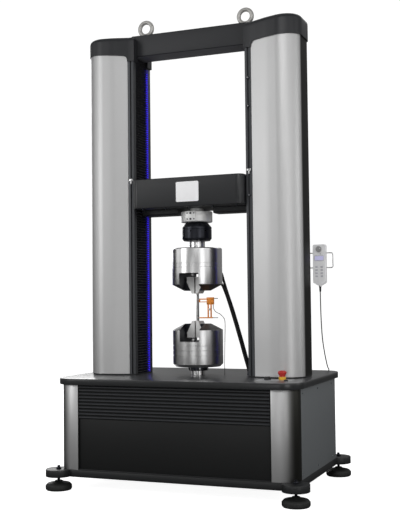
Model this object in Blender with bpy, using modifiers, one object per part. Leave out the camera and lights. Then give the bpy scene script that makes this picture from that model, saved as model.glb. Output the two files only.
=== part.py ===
"""Floor-standing universal testing machine, modelled as separate solids in metres.

X runs to the machine's right, Y to its back and Z up. The origin is on the floor, under the middle
of the base. The load axis, the columns and the crosshead stand LOAD_AXIS_Y in front of that middle.
"""
import math

import bmesh
import bpy
from mathutils import Matrix, Vector

# Fits
GAP = 0.0003
RUNNING_GAP = 0.0006
SHEET = 0.003

# Base cabinet
BASE_WIDTH = 1.108
BASE_DEPTH = 0.734
FRAME_BOTTOM = 0.060
FRAME_THICKNESS = 0.032
POST_RADIUS = 0.080
POST_FLAT = 0.026
TABLE_TOP = 0.495
TABLE_THICKNESS = 0.028
TABLE_OVERHANG = 0.016
TABLE_EDGE_ROUND = 0.004
LOUVRE_COUNT = 10
LOUVRE_PITCH = 0.0148
LOUVRE_DEPTH = 0.006
LOUVRE_TOP_INSET = 0.002

# Levelling feet
FOOT_INSET = 0.005
EAR_RADIUS = 0.058
PAD_RADIUS = 0.059
PAD_HEIGHT = 0.031
STUD_RADIUS = 0.0065
NUT_RADIUS = 0.0125
NUT_HEIGHT = 0.010

# Rear vents
VENT_COUNT = 8
VENT_X = -0.300
VENT_LENGTH = 0.160
VENT_PITCH = 0.014
VENT_HEIGHT = 0.006
VENT_RISE = 0.080

# Columns, from the cabinet's side inwards and from the load axis
LOAD_AXIS_Y = -0.042
TABLE_PAST_COVER = 0.034
COVER_PAST_ARM = 0.040
ARM_PAST_GUIDE = 0.048
GUIDE_TO_SCREW = 0.080
SCREW_TO_STRIP = 0.0775
CROSSHEAD_CLEARANCE = 0.003
STRIP_WIDTH = 0.030
STRIP_FRONT_Y = 0.092
STRIP_DEPTH = 0.024
COVER_BULGE = 0.034
COVER_BOW_RADIUS = 0.25
COVER_FRONT_RADIUS = 0.090
COVER_REAR_Y = 0.098
COVER_REAR_RADIUS = 0.040
PLINTH_HEIGHT = 0.006
SLOT_FRONT_Y = 0.062
SLOT_REAR_Y = 0.062
BELLOWS_DEPTH = 0.012
BELLOWS_PITCH = 0.020
LED_WIDTH = 0.010
LED_THICKNESS = 0.004

# Top
BEAM_BOTTOM = 1.985
BEAM_HEIGHT = 0.0975
BEAM_DEPTH = 0.113
BEAM_EDGE_ROUND = 0.004
CAP_HEADROOM = 0.0008
CAP_CLEARANCE = 0.001
CAP_WALL = 0.004
CAP_EDGE_ROUND = 0.032
CAP_SKIRT_DROP = 0.026
CAP_RISE = 0.010
CAP_WINDOW_RADIUS = 0.022
EYE_TO_STRIP = 0.0245
COLUMN_INTO_CAP = 0.030
BEAM_PAST_GUIDE = 0.012
EYE_RADIUS = 0.0315
EYE_WIRE = 0.0095
EYE_NECK = 0.016
EYE_COLLAR = 0.019

# Screws and guides
SCREW_RADIUS = 0.020
GUIDE_RADIUS = 0.025
BEARING_BEAM_HEIGHT = 0.090
BEARING_BEAM_DEPTH = 0.150
BEARING_BEAM_INSET = 0.049
WEB_THICKNESS = 0.022
PULLEY_RADIUS = 0.045
PULLEY_WIDTH = 0.024
PULLEY_BELOW_BEAM = 0.012
MOTOR_X = 0.110
MOTOR_Y = 0.190
MOTOR_RADIUS = 0.055
MOTOR_PULLEY_RADIUS = 0.026
MOTOR_BELOW_PULLEY = 0.0484
BELT_THICKNESS = 0.004

# Crosshead
CROSSHEAD_DEPTH = 0.256
CROSSHEAD_HEIGHT = 0.135
CROSSHEAD_CORNER = 0.030
ARM_DEPTH = 0.110
ARM_INSET = 0.012
RIB_INNER = 0.088
RIB_FRONT_Y = 0.018
RIB_DEPTH = 0.085
RIB_DROP = 0.025
RIB_ROUND = 0.009

# Travel stops on the front extrusions
STOP_WIDTH = 0.020
STOP_HEIGHT = 0.012
TOP_STOP_BELOW_BEAM = 0.161
HIGH_STOP_BELOW_BEAM = 0.288
STOP_ABOVE_CROSSHEAD = 0.016
STOP_BESIDE_CROSSHEAD = 0.039
LEFT_STOP_ABOVE_CROSSHEAD = 0.004

# Load train, between the crosshead and the upper grip
CELL_NECK_RADIUS = 0.031
CELL_NECK = 0.0145
CELL_RADIUS = 0.0726
CELL_HEIGHT = 0.049
CELL_PLATE = 0.048
CELL_PLATE_DEPTH = 0.004
RING_RADIUS = 0.0684
RING_TOP_RADIUS = 0.0486
RING_HEIGHT = 0.0855
RING_TOP_CHAMFER = 0.023
RING_LOW_CHAMFER = 0.011
SHANK_RADIUS = 0.0367
SHANK_LENGTH = 0.034
SPIGOT_RADIUS = 0.020
SPIGOT_LENGTH = 0.012

# Wedge grips, from the flat mouth inwards
GRIP_RADIUS = 0.115
GRIP_HEIGHT = 0.195
GRIP_CONE = 0.028
GRIP_MOUTH_RADIUS = 0.061
GRIP_CHAMFER = 0.009
GRIP_GROOVE = 0.1245
GROOVE_DEPTH = 0.0012
GROOVE_WIDTH = 0.003
SLOT_WIDTH = 0.094
SLOT_HEIGHT = 0.0793
SEAT_DEPTH = 0.068
WEDGE_ANGLE = math.radians(25)
JAW_NOSE = 0.012
JAW_OUT = 0.013
JAW_HEIGHT = 0.076
JAW_SHOULDER = 0.040

# Specimen, lower adapter and extensometer
SPECIMEN_THICKNESS = 0.0064
SPECIMEN_WIDTH = 0.022
SPECIMEN_GRIPPED = 0.052
MOUTH_DISTANCE = 0.1514
ADAPTER_HEIGHT = 0.040
ADAPTER_RADIUS = 0.031
ADAPTER_RING_RADIUS = 0.046
ADAPTER_RING_HEIGHT = 0.018
GAUGE_LENGTH = 0.088
GAUGE_ABOVE_MOUTH = 0.071
EXT_DEPTH = 0.012
EXT_ARM = 0.0055
EXT_BLOCK_X = 0.046
EXT_BLOCK_LENGTH = 0.034
EXT_BLOCK_HEIGHT = 0.028
EXT_LEG = 0.0065
EXT_ROD_RADIUS = 0.0022
EXT_ROD_END = 0.100

# Controls on the table
ESTOP_INSIDE_COVER = 0.068
ESTOP_Y = 0.168
ESTOP_BASE_RADIUS = 0.0155
ESTOP_BASE_HEIGHT = 0.0135
ESTOP_STEM_RADIUS = 0.0128
ESTOP_HEAD_RADIUS = 0.0194
ESTOP_HEAD_HEIGHT = 0.027
ESTOP_TRAVEL = 0.004
KNOB_TO_ESTOP = 0.066
KNOB_RADIUS = 0.015
KNOB_HEIGHT = 0.013

# Handset and its bracket, from the load axis
HANDSET_OUTSIDE_COVER = 0.024
HANDSET_ABOVE_TABLE = 0.589
HANDSET_WIDTH = 0.060
HANDSET_LENGTH = 0.186
HANDSET_DEPTH = 0.024
HANDSET_POINT = 0.034
JOG_RADIUS = 0.0135
JOG_HEIGHT = 0.010
JOG_FROM_TOP = 0.022
BRACKET_WIRE = 0.0025
BRACKET_PAST_HANDSET = 0.0595
BRACKET_HEIGHT = 0.067
BRACKET_BELOW_TOP = 0.0715
BRACKET_BEHIND = 0.054
BRACKET_ROOT_INSIDE_COVER = 0.080
BOOT_RADIUS = 0.0055
BOOT_LENGTH = 0.030
CORD_RADIUS = 0.0025

# Hoses and the extensometer's cable
HOSE_RADIUS = 0.0055
HOSE_PORT_X = 0.050
HOSE_PORT_ABOVE_MOUTH = 0.095
HOSE_PORT_PITCH = 0.051
HOSE_FOOT_TO_STRIP = 0.0425
HOSE_FOOT_Y = 0.048
HOSE_PITCH_X = 0.004
HOSE_PITCH_Y = 0.0145
SENSOR_CABLE_RADIUS = 0.0015

ROUND_SIDES = 32
SMALL_SIDES = 20
CORNER_STEPS = 5

# Heights and places that follow from the sizes above
FRAME_TOP = FRAME_BOTTOM + FRAME_THICKNESS
PANEL_BOTTOM = FRAME_TOP + GAP
TABLE_UNDER = TABLE_TOP - TABLE_THICKNESS
PANEL_TOP = TABLE_UNDER - GAP
PLINTH_TOP = TABLE_TOP + PLINTH_HEIGHT
BEAM_TOP = BEAM_BOTTOM + BEAM_HEIGHT
CAP_TOP = BEAM_TOP + CAP_HEADROOM + CAP_WALL
COLUMN_TOP = BEAM_BOTTOM + COLUMN_INTO_CAP
COVER_OUTER_X = BASE_WIDTH / 2 - TABLE_PAST_COVER
ARM_END = COVER_OUTER_X - COVER_PAST_ARM
GUIDE_X = ARM_END - ARM_PAST_GUIDE
SCREW_X = GUIDE_X - GUIDE_TO_SCREW
STRIP_INNER_X = SCREW_X - SCREW_TO_STRIP
COVER_INNER_X = STRIP_INNER_X + STRIP_WIDTH + GAP
CROSSHEAD_HALF = STRIP_INNER_X - CROSSHEAD_CLEARANCE
EYE_X = STRIP_INNER_X - EYE_TO_STRIP
BEARING_BEAM_END = BASE_WIDTH / 2 - BEARING_BEAM_INSET
LOWER_GRIP_BOTTOM = TABLE_TOP + ADAPTER_HEIGHT
LOWER_MOUTH = LOWER_GRIP_BOTTOM + GRIP_HEIGHT
UPPER_MOUTH = LOWER_MOUTH + MOUTH_DISTANCE
GRIP_TOP = UPPER_MOUTH + GRIP_HEIGHT
RING_BOTTOM = GRIP_TOP + SHANK_LENGTH + GAP
RING_TOP = RING_BOTTOM + RING_HEIGHT
CELL_TOP = RING_TOP + GAP + CELL_HEIGHT
CROSSHEAD_BOTTOM = CELL_TOP + CELL_NECK
CROSSHEAD_TOP = CROSSHEAD_BOTTOM + CROSSHEAD_HEIGHT
GAUGE_MIDDLE = LOWER_MOUTH + GAUGE_ABOVE_MOUTH
ARM_BOTTOM = CROSSHEAD_BOTTOM + ARM_INSET
ARM_TOP = CROSSHEAD_TOP - ARM_INSET
BEARING_TOP = TABLE_UNDER - GAP
BEARING_BOTTOM = BEARING_TOP - BEARING_BEAM_HEIGHT
PULLEY_TOP = BEARING_BOTTOM - PULLEY_BELOW_BEAM
PULLEY_LOW = PULLEY_TOP - PULLEY_WIDTH
MOTOR_TOP = PULLEY_LOW - MOTOR_BELOW_PULLEY
ESTOP_X = COVER_OUTER_X - ESTOP_INSIDE_COVER
KNOB_X = ESTOP_X - KNOB_TO_ESTOP
HANDSET_X = COVER_OUTER_X + HANDSET_OUTSIDE_COVER
HANDSET_TOP = TABLE_TOP + HANDSET_ABOVE_TABLE
BRACKET_END_X = HANDSET_X + BRACKET_PAST_HANDSET
BRACKET_ROOT_X = COVER_OUTER_X - BRACKET_ROOT_INSIDE_COVER
BRACKET_MIDDLE_Z = HANDSET_TOP - BRACKET_BELOW_TOP
JAW_FACE = SPECIMEN_THICKNESS / 2 + GAP

FINISHES = {
    "black_paint": ((0.030, 0.033, 0.036), 0.45, 0.0),
    "tabletop_black": ((0.020, 0.021, 0.022), 0.22, 0.0),
    "satin_aluminium": ((0.62, 0.62, 0.62), 0.38, 1.0),
    "side_grey": ((0.17, 0.18, 0.19), 0.45, 0.3),
    "dark_extrusion": ((0.09, 0.09, 0.10), 0.45, 0.6),
    "bellows_rubber": ((0.015, 0.015, 0.018), 0.60, 0.0),
    "blue_light": ((0.03, 0.03, 0.90), 0.40, 0.0),
    "turned_steel": ((0.60, 0.60, 0.61), 0.25, 1.0),
    "bright_steel": ((0.75, 0.75, 0.75), 0.15, 1.0),
    "black_oxide": ((0.035, 0.038, 0.045), 0.35, 0.7),
    "foot_rubber": ((0.030, 0.032, 0.030), 0.70, 0.0),
    "hose_rubber": ((0.012, 0.012, 0.013), 0.55, 0.0),
    "cable_grey": ((0.20, 0.20, 0.20), 0.60, 0.0),
    "sensor_orange": ((0.80, 0.22, 0.03), 0.35, 0.2),
    "stop_red": ((0.65, 0.03, 0.03), 0.35, 0.0),
    "stop_yellow": ((0.85, 0.50, 0.04), 0.40, 0.0),
    "handset_grey": ((0.68, 0.68, 0.70), 0.35, 0.0),
}


def clear_scene():
    """Empties the scene."""
    for obj in list(bpy.data.objects):
        bpy.data.objects.remove(obj, do_unlink=True)


def new_collection(name):
    """Makes a collection in the scene."""
    made = bpy.data.collections.new(name)
    bpy.context.scene.collection.children.link(made)
    return made


def new_material(name, colour, roughness, metallic):
    """Makes one plain material."""
    material = bpy.data.materials.new(name)
    material.use_nodes = True
    shader = material.node_tree.nodes["Principled BSDF"]
    shader.inputs["Base Color"].default_value = (*colour, 1.0)
    shader.inputs["Roughness"].default_value = roughness
    shader.inputs["Metallic"].default_value = metallic
    return material


clear_scene()
PARTS = new_collection("universal_testing_machine")
CUTTERS = new_collection("cutters")
LOOKS = {name: new_material(name, *values) for name, values in FINISHES.items()}


def add(name, mesh, look=None, at=(0, 0, 0), parent=None):
    """Links a mesh as a part, or as a cutter where it has no look."""
    obj = bpy.data.objects.new(name, mesh)
    obj.location = at
    obj.parent = parent
    if look is None:
        CUTTERS.objects.link(obj)
        obj.hide_render = True
        obj.display_type = "WIRE"
        return obj
    PARTS.objects.link(obj)
    obj.data.materials.append(LOOKS[look])
    return obj


def add_pivot(name, at, parent=None):
    """Adds an empty that moving parts hang on."""
    pivot = bpy.data.objects.new(name, None)
    pivot.location = at
    pivot.parent = parent
    PARTS.objects.link(pivot)
    return pivot


def mesh_from(name, bm):
    """Turns a bmesh into a mesh with its faces pointing out."""
    bmesh.ops.recalc_face_normals(bm, faces=bm.faces)
    mesh = bpy.data.meshes.new(name)
    bm.to_mesh(mesh)
    bm.free()
    return mesh


def prism(name, outline, low, high, axis="Z", **place):
    """Extrudes a flat outline along one axis."""
    spots = {
        "X": lambda a, b: (low, a, b),
        "Y": lambda a, b: (a, low, b),
        "Z": lambda a, b: (a, b, low),
    }
    step = {"X": (high - low, 0, 0), "Y": (0, high - low, 0), "Z": (0, 0, high - low)}
    bm = bmesh.new()
    face = bm.faces.new([bm.verts.new(spots[axis](*point)) for point in outline])
    made = bmesh.ops.extrude_face_region(bm, geom=[face])
    moved = [item for item in made["geom"] if isinstance(item, bmesh.types.BMVert)]
    bmesh.ops.translate(bm, verts=moved, vec=step[axis])
    return add(name, mesh_from(name, bm), **place)


def box(name, low, high, **place):
    """A box between two corners."""
    size = Vector(high) - Vector(low)
    middle = (Vector(high) + Vector(low)) / 2
    bm = bmesh.new()
    bmesh.ops.create_cube(bm, size=1, matrix=Matrix.Translation(middle) @ Matrix.Diagonal((*size, 1)))
    return add(name, mesh_from(name, bm), **place)


def rod(name, radius, low, high, sides=ROUND_SIDES, turn=Matrix(), **place):
    """A round bar along Z between two heights, then turned."""
    bm = bmesh.new()
    bmesh.ops.create_cone(
        bm, cap_ends=True, segments=sides, radius1=radius, radius2=radius, depth=high - low,
        matrix=turn @ Matrix.Translation((0, 0, (high + low) / 2)),
    )
    return add(name, mesh_from(name, bm), **place)


def turned(name, profile, sides=ROUND_SIDES, **place):
    """A solid of revolution about Z. The profile runs from the top down its outer side."""
    mesh = bpy.data.meshes.new(name)
    spots = [(radius, 0, height) for radius, height in profile]
    mesh.from_pydata(spots, [(index, index + 1) for index in range(len(spots) - 1)], [])
    obj = add(name, mesh, **place)
    screw = obj.modifiers.new("Turn", "SCREW")
    screw.steps = sides
    screw.render_steps = sides
    screw.use_merge_vertices = True
    screw.merge_threshold = 0.00001
    return obj


def domed(name, outline, low, high, edge, steps=3, **place):
    """An upright prism whose upper rim is rounded in steps."""
    bm = bmesh.new()
    base = bm.faces.new([bm.verts.new((x, y, low)) for x, y in outline])
    made = bmesh.ops.extrude_face_region(bm, geom=[base])
    moved = [item for item in made["geom"] if isinstance(item, bmesh.types.BMVert)]
    bmesh.ops.translate(bm, verts=moved, vec=(0, 0, high - edge - low))
    bmesh.ops.recalc_face_normals(bm, faces=bm.faces)
    top = max(bm.faces, key=lambda face: face.calc_center_median().z)
    turns = [math.pi / 2 * step / steps for step in range(steps + 1)]
    for before, after in zip(turns, turns[1:]):
        bmesh.ops.inset_region(
            bm, faces=[top], thickness=edge * (math.cos(before) - math.cos(after)),
            depth=edge * (math.sin(after) - math.sin(before)), use_even_offset=True, use_boundary=True,
        )
    return add(name, mesh_from(name, bm), **place)


def wall(name, path, low, high, thickness, offset=-1.0, **place):
    """A thin sheet that stands on an open path."""
    bm = bmesh.new()
    verts = [bm.verts.new((x, y, low)) for x, y in path]
    edges = [bm.edges.new(pair) for pair in zip(verts, verts[1:])]
    made = bmesh.ops.extrude_edge_only(bm, edges=edges)
    moved = [item for item in made["geom"] if isinstance(item, bmesh.types.BMVert)]
    bmesh.ops.translate(bm, verts=moved, vec=(0, 0, high - low))
    mesh = bpy.data.meshes.new(name)
    bm.to_mesh(mesh)
    bm.free()
    obj = add(name, mesh, **place)
    solid = obj.modifiers.new("Wall", "SOLIDIFY")
    solid.thickness = thickness
    solid.offset = offset
    solid.use_even_offset = True
    return obj


def tube(name, route, radius, look, closed=False, resolution=2):
    """A round cord along a smooth route, with filled ends."""
    curve = bpy.data.curves.new(name, "CURVE")
    curve.dimensions = "3D"
    curve.bevel_depth = radius
    curve.bevel_resolution = resolution
    curve.use_fill_caps = not closed
    spline = curve.splines.new("POLY")
    spline.points.add(len(route) - 1)
    for point, spot in zip(spline.points, route):
        point.co = (*spot, 1.0)
    spline.use_cyclic_u = closed
    obj = bpy.data.objects.new(name, curve)
    PARTS.objects.link(obj)
    curve.materials.append(LOOKS[look])
    return obj


def combine(obj, tool, operation="DIFFERENCE"):
    """Cuts or joins a helper solid."""
    modifier = obj.modifiers.new(operation.title(), "BOOLEAN")
    modifier.operation = operation
    modifier.solver = "EXACT"
    modifier.object = tool
    return obj


def bevel(obj, width, steps=2, angle=30):
    """Rounds the sharp edges."""
    modifier = obj.modifiers.new("Round", "BEVEL")
    modifier.width = width
    modifier.segments = steps
    modifier.limit_method = "ANGLE"
    modifier.angle_limit = math.radians(angle)
    modifier.use_clamp_overlap = True
    return obj


def fillet(corners, steps=CORNER_STEPS):
    """Rounds a closed outline whose corners are (x, y, radius)."""
    outline = []
    for index, (x, y, radius) in enumerate(corners):
        here = Vector((x, y))
        if radius == 0:
            outline.append(here)
            continue
        before = (Vector(corners[index - 1][:2]) - here).normalized()
        after = (Vector(corners[(index + 1) % len(corners)][:2]) - here).normalized()
        half = before.angle(after) / 2
        centre = here + (before + after).normalized() * radius / math.sin(half)
        start = here + before * radius / math.tan(half) - centre
        end = here + after * radius / math.tan(half) - centre
        sweep = start.angle_signed(end)
        for step in range(steps + 1):
            outline.append(centre + Matrix.Rotation(-sweep * step / steps, 2) @ start)
    return outline


def grown(outline, distance):
    """Moves every side of a closed outline outwards by one distance."""
    spots = [Vector(spot) for spot in outline]
    moved = []
    for index, here in enumerate(spots):
        before = (here - spots[index - 1]).normalized()
        after = (spots[(index + 1) % len(spots)] - here).normalized()
        outward = Vector((before.y + after.y, -before.x - after.x)).normalized()
        moved.append(here + outward * distance / (outward.x * before.y - outward.y * before.x))
    return moved


def smooth_route(points, spacing):
    """Reads points at an even spacing from a smooth curve through the route's own points."""
    ends = [2 * points[0] - points[1], *points, 2 * points[-1] - points[-2]]
    dense = []
    for a, b, c, d in zip(ends, ends[1:], ends[2:], ends[3:]):
        for step in range(24):
            t = step / 24
            dense.append(0.5 * (2 * b + (c - a) * t + (2 * a - 5 * b + 4 * c - d) * t * t
                                + (3 * b - a - 3 * c + d) * t ** 3))
    dense.append(points[-1])
    route = [dense[0]]
    for spot in dense:
        if (spot - route[-1]).length >= spacing:
            route.append(spot)
    if (dense[-1] - route[-1]).length < spacing / 2:
        route.pop()
    route.append(dense[-1])
    return route


def mirrored(outline, side):
    """Flips an outline to the left or keeps it on the right."""
    return [(side * x, y) for x, y in outline]


def from_axis(outline):
    """Moves an outline from the load axis to the machine's frame."""
    return [(x, y + LOAD_AXIS_Y) for x, y in outline]


# Base cabinet

def foot_spots():
    """Where the four levelling studs stand."""
    x = BASE_WIDTH / 2 - FOOT_INSET
    y = BASE_DEPTH / 2 - FOOT_INSET
    return {
        "front_left": (-x, -y),
        "front_right": (x, -y),
        "rear_left": (-x, y),
        "rear_right": (x, y),
    }


def build_base_frame():
    """The floor plate with a round ear at each corner, bored for the levelling stud."""
    x = BASE_WIDTH / 2
    y = BASE_DEPTH / 2
    corner = POST_RADIUS
    plate = prism(
        "base_frame",
        fillet([(-x, -y, corner), (x, -y, corner), (x, y, corner), (-x, y, corner)]),
        FRAME_BOTTOM, FRAME_TOP, look="black_paint",
    )
    for name, (fx, fy) in foot_spots().items():
        ear = rod(f"ear_{name}", EAR_RADIUS, FRAME_BOTTOM, FRAME_TOP, at=(fx, fy, 0))
        combine(plate, ear, "UNION")
    for name, (fx, fy) in foot_spots().items():
        bore = rod(f"ear_bore_{name}", STUD_RADIUS + GAP, 0, TABLE_TOP, SMALL_SIDES, at=(fx, fy, 0))
        combine(plate, bore)


def build_feet():
    """Round pads with a domed top, each on its threaded stud with a nut above the ear."""
    nut_low = FRAME_TOP + GAP
    for name, (fx, fy) in foot_spots().items():
        profile = [
            (0, nut_low + NUT_HEIGHT + 0.006),
            (STUD_RADIUS, nut_low + NUT_HEIGHT + 0.006),
            (STUD_RADIUS, nut_low + NUT_HEIGHT),
            (NUT_RADIUS, nut_low + NUT_HEIGHT),
            (NUT_RADIUS, nut_low),
            (STUD_RADIUS, nut_low),
            (STUD_RADIUS, PAD_HEIGHT + 0.008),
            (NUT_RADIUS, PAD_HEIGHT + 0.006),
            (PAD_RADIUS * 0.80, PAD_HEIGHT),
            (PAD_RADIUS * 0.97, PAD_HEIGHT * 0.74),
            (PAD_RADIUS, PAD_HEIGHT * 0.50),
            (PAD_RADIUS * 0.96, PAD_HEIGHT * 0.13),
            (PAD_RADIUS * 0.90, 0),
            (0, 0),
        ]
        turned(f"levelling_foot_{name}", profile, 24, look="foot_rubber", at=(fx, fy, 0))


def build_tabletop():
    """The black table plate with its raised column plinths and the screw and guide holes."""
    x = BASE_WIDTH / 2 + TABLE_OVERHANG
    y = BASE_DEPTH / 2 + TABLE_OVERHANG
    corner = POST_RADIUS + TABLE_OVERHANG
    table = prism(
        "tabletop",
        fillet([(-x, -y, corner), (x, -y, corner), (x, y, corner), (-x, y, corner)], 8),
        TABLE_UNDER, TABLE_TOP, look="tabletop_black",
    )
    bevel(table, TABLE_EDGE_ROUND, 2, 60)
    for side, word in ((-1, "left"), (1, "right")):
        inset = SHEET / 2
        outline = [
            (STRIP_INNER_X, -STRIP_FRONT_Y + inset, 0),
            (COVER_INNER_X, -STRIP_FRONT_Y + inset, 0),
            (COVER_OUTER_X - inset, -STRIP_FRONT_Y - COVER_BULGE + inset, COVER_FRONT_RADIUS),
            (COVER_OUTER_X - inset, COVER_REAR_Y - inset, COVER_REAR_RADIUS),
            (STRIP_INNER_X, COVER_REAR_Y - inset, 0),
        ]
        plinth = prism(f"plinth_{word}", mirrored(from_axis(fillet(outline)), side),
                       TABLE_TOP - 0.002, PLINTH_TOP)
        combine(table, plinth, "UNION")
        for hole, hole_x, radius in (("screw", SCREW_X, SCREW_RADIUS), ("guide", GUIDE_X, GUIDE_RADIUS)):
            bore = rod(f"table_{hole}_bore_{word}", radius + RUNNING_GAP, TABLE_UNDER - 0.05,
                       PLINTH_TOP + 0.05, 24, at=(side * hole_x, LOAD_AXIS_Y, 0))
            combine(table, bore)


def louvre_profile():
    """The front panel's section in Y and Z, with its row of horizontal louvre blades."""
    front = -BASE_DEPTH / 2 + LOUVRE_DEPTH
    back = front + SHEET
    outline = [(back, PANEL_BOTTOM), (front, PANEL_BOTTOM)]
    lowest = PANEL_TOP - LOUVRE_TOP_INSET - LOUVRE_COUNT * LOUVRE_PITCH
    for index in range(LOUVRE_COUNT):
        start = lowest + index * LOUVRE_PITCH
        outline.append((front, start + LOUVRE_PITCH * 0.30))
        outline.append((front - LOUVRE_DEPTH, start + LOUVRE_PITCH * 0.44))
        outline.append((front - LOUVRE_DEPTH, start + LOUVRE_PITCH * 0.62))
        outline.append((front, start + LOUVRE_PITCH * 0.96))
    outline += [(front, PANEL_TOP), (back, PANEL_TOP)]
    return outline


def build_cabinet_panels():
    """Front, rear and side panels and the two rounded front posts."""
    x = BASE_WIDTH / 2
    y = BASE_DEPTH / 2
    panel_half = x - POST_RADIUS - POST_FLAT - GAP
    prism("front_panel", louvre_profile(), -panel_half, panel_half, "X", look="black_paint")
    side_front = -y + POST_RADIUS + GAP
    for side, word in ((-1, "left"), (1, "right")):
        corner = [(x - POST_RADIUS, -y), (x, -y), (x, -y + POST_RADIUS)]
        arc = fillet([(corner[0][0] - 1, -y, 0), (x, -y, POST_RADIUS), (x, y, 0)], 8)[1:-1]
        path = [(x - POST_RADIUS - POST_FLAT, -y), *[tuple(spot) for spot in arc]]
        wall(f"front_post_{word}", mirrored(path, side), PANEL_BOTTOM, PANEL_TOP, SHEET, side,
             look="satin_aluminium")
        arc = fillet([(x, -y, 0), (x, y, POST_RADIUS), (-x, y, 0)], 8)[1:-1]
        path = [(x, side_front), *[tuple(spot) for spot in arc]]
        wall(f"side_panel_{word}", mirrored(path, side), PANEL_BOTTOM, PANEL_TOP, SHEET, side,
             look="side_grey")
    rear_half = x - POST_RADIUS - GAP
    rear = prism(
        "rear_panel",
        [(-rear_half, y - SHEET), (rear_half, y - SHEET), (rear_half, y), (-rear_half, y)],
        PANEL_BOTTOM, PANEL_TOP, look="black_paint",
    )
    for index in range(VENT_COUNT):
        slot_z = PANEL_BOTTOM + VENT_RISE + index * VENT_PITCH
        slot = box(f"rear_vent_{index + 1}", (VENT_X, y - 0.02, slot_z),
                   (VENT_X + VENT_LENGTH, y + 0.02, slot_z + VENT_HEIGHT))
        combine(rear, slot)


# Columns

def cover_outline():
    """The right cover's plan from its inner front edge round to its inner rear edge."""
    corners = [
        (COVER_INNER_X, -STRIP_FRONT_Y, 0),
        (COVER_INNER_X + (COVER_OUTER_X - COVER_INNER_X) * 0.33, -STRIP_FRONT_Y - COVER_BULGE * 0.55,
         COVER_BOW_RADIUS),
        (COVER_OUTER_X, -STRIP_FRONT_Y - COVER_BULGE, COVER_FRONT_RADIUS),
        (COVER_OUTER_X, COVER_REAR_Y, COVER_REAR_RADIUS),
        (COVER_INNER_X, COVER_REAR_Y, 0),
    ]
    return from_axis(fillet(corners, 8))


def strip_section():
    """The front T-slot extrusion's plan, with one slot in its face."""
    left = STRIP_INNER_X
    right = STRIP_INNER_X + STRIP_WIDTH
    front = -STRIP_FRONT_Y
    back = front + STRIP_DEPTH
    middle = (left + right) / 2
    mouth = 0.004
    pocket = 0.0075
    lip = 0.003
    floor = 0.009
    return from_axis([
        (left, front), (middle - mouth, front), (middle - mouth, front + lip),
        (middle - pocket, front + lip), (middle - pocket, front + floor),
        (middle + pocket, front + floor), (middle + pocket, front + lip),
        (middle + mouth, front + lip), (middle + mouth, front), (right, front),
        (right, back), (left, back),
    ])


def bellows_profile(low, high):
    """The bellows' section in X and Z, pleated on its inner side."""
    inner = STRIP_INNER_X + 0.001
    outer = inner + BELLOWS_DEPTH
    count = max(2, round((high - low) / BELLOWS_PITCH))
    pitch = (high - low) / count
    outline = [(outer + SHEET, high), (outer + SHEET, low), (outer, low)]
    for index in range(count):
        outline.append((inner, low + (index + 0.5) * pitch))
        if index < count - 1:
            outline.append((outer, low + (index + 1) * pitch))
    outline.append((outer, high))
    return outline


def build_columns():
    """Covers, extrusions, light strips, bellows, guide columns and screws on both sides."""
    for side, word in ((-1, "left"), (1, "right")):
        wall(f"column_cover_{word}", mirrored(cover_outline(), side), PLINTH_TOP + GAP, COLUMN_TOP,
             SHEET, side, look="satin_aluminium")
        strip = prism(f"front_strip_{word}", mirrored(strip_section(), side), PLINTH_TOP + GAP,
                      COLUMN_TOP, look="dark_extrusion")
        add_stops(strip, side, word)
        rear_low = SLOT_REAR_Y + LED_WIDTH + GAP
        rear_high = COVER_REAR_Y - SHEET - GAP
        prism(f"rear_strip_{word}", mirrored(from_axis([
            (STRIP_INNER_X, rear_low), (STRIP_INNER_X + STRIP_WIDTH, SLOT_REAR_Y + GAP),
            (STRIP_INNER_X + STRIP_WIDTH, rear_high), (STRIP_INNER_X, rear_high),
        ]), side), PLINTH_TOP + GAP, COLUMN_TOP, look="dark_extrusion")
        prism(f"light_strip_{word}", mirrored(from_axis([
            (STRIP_INNER_X, rear_low - GAP), (STRIP_INNER_X, rear_low - LED_THICKNESS),
            (STRIP_INNER_X + STRIP_WIDTH - 0.006, SLOT_REAR_Y - LED_THICKNESS + 0.002),
            (STRIP_INNER_X + STRIP_WIDTH - 0.006, SLOT_REAR_Y + 0.0012),
        ]), side), PLINTH_TOP + GAP, BEAM_BOTTOM - GAP, look="blue_light")
        front_y = LOAD_AXIS_Y - STRIP_FRONT_Y + STRIP_DEPTH + GAP
        rear_y = LOAD_AXIS_Y + SLOT_REAR_Y - LED_THICKNESS - GAP
        for level, low, high in (
            ("lower", PLINTH_TOP + GAP, ARM_BOTTOM - GAP),
            ("upper", ARM_TOP + GAP, BEAM_BOTTOM - GAP),
        ):
            prism(f"bellows_{level}_{word}", mirrored(bellows_profile(low, high), side),
                  front_y, rear_y, "Y", look="bellows_rubber")
        rod(f"guide_column_{word}", GUIDE_RADIUS, BEARING_TOP + GAP, BEAM_BOTTOM - GAP, 24,
            look="bright_steel", at=(side * GUIDE_X, LOAD_AXIS_Y, 0))
        build_screw(side, word)


def add_stops(strip, side, word):
    """Clamps that set the travel limits on the front extrusion."""
    middle = side * (STRIP_INNER_X + STRIP_WIDTH / 2)
    front = LOAD_AXIS_Y - STRIP_FRONT_Y
    heights = [CROSSHEAD_TOP + LEFT_STOP_ABOVE_CROSSHEAD]
    if side > 0:
        heights = [
            BEAM_BOTTOM - TOP_STOP_BELOW_BEAM, BEAM_BOTTOM - HIGH_STOP_BELOW_BEAM,
            CROSSHEAD_TOP + STOP_ABOVE_CROSSHEAD, CROSSHEAD_BOTTOM + STOP_BESIDE_CROSSHEAD,
        ]
    half = STOP_HEIGHT / 2
    for index, height in enumerate(heights):
        stop = box(f"stop_{word}_{index + 1}", (middle - STOP_WIDTH / 2, front - half, height - half),
                   (middle + STOP_WIDTH / 2, front + half, height + half))
        combine(strip, stop, "UNION")


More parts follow.
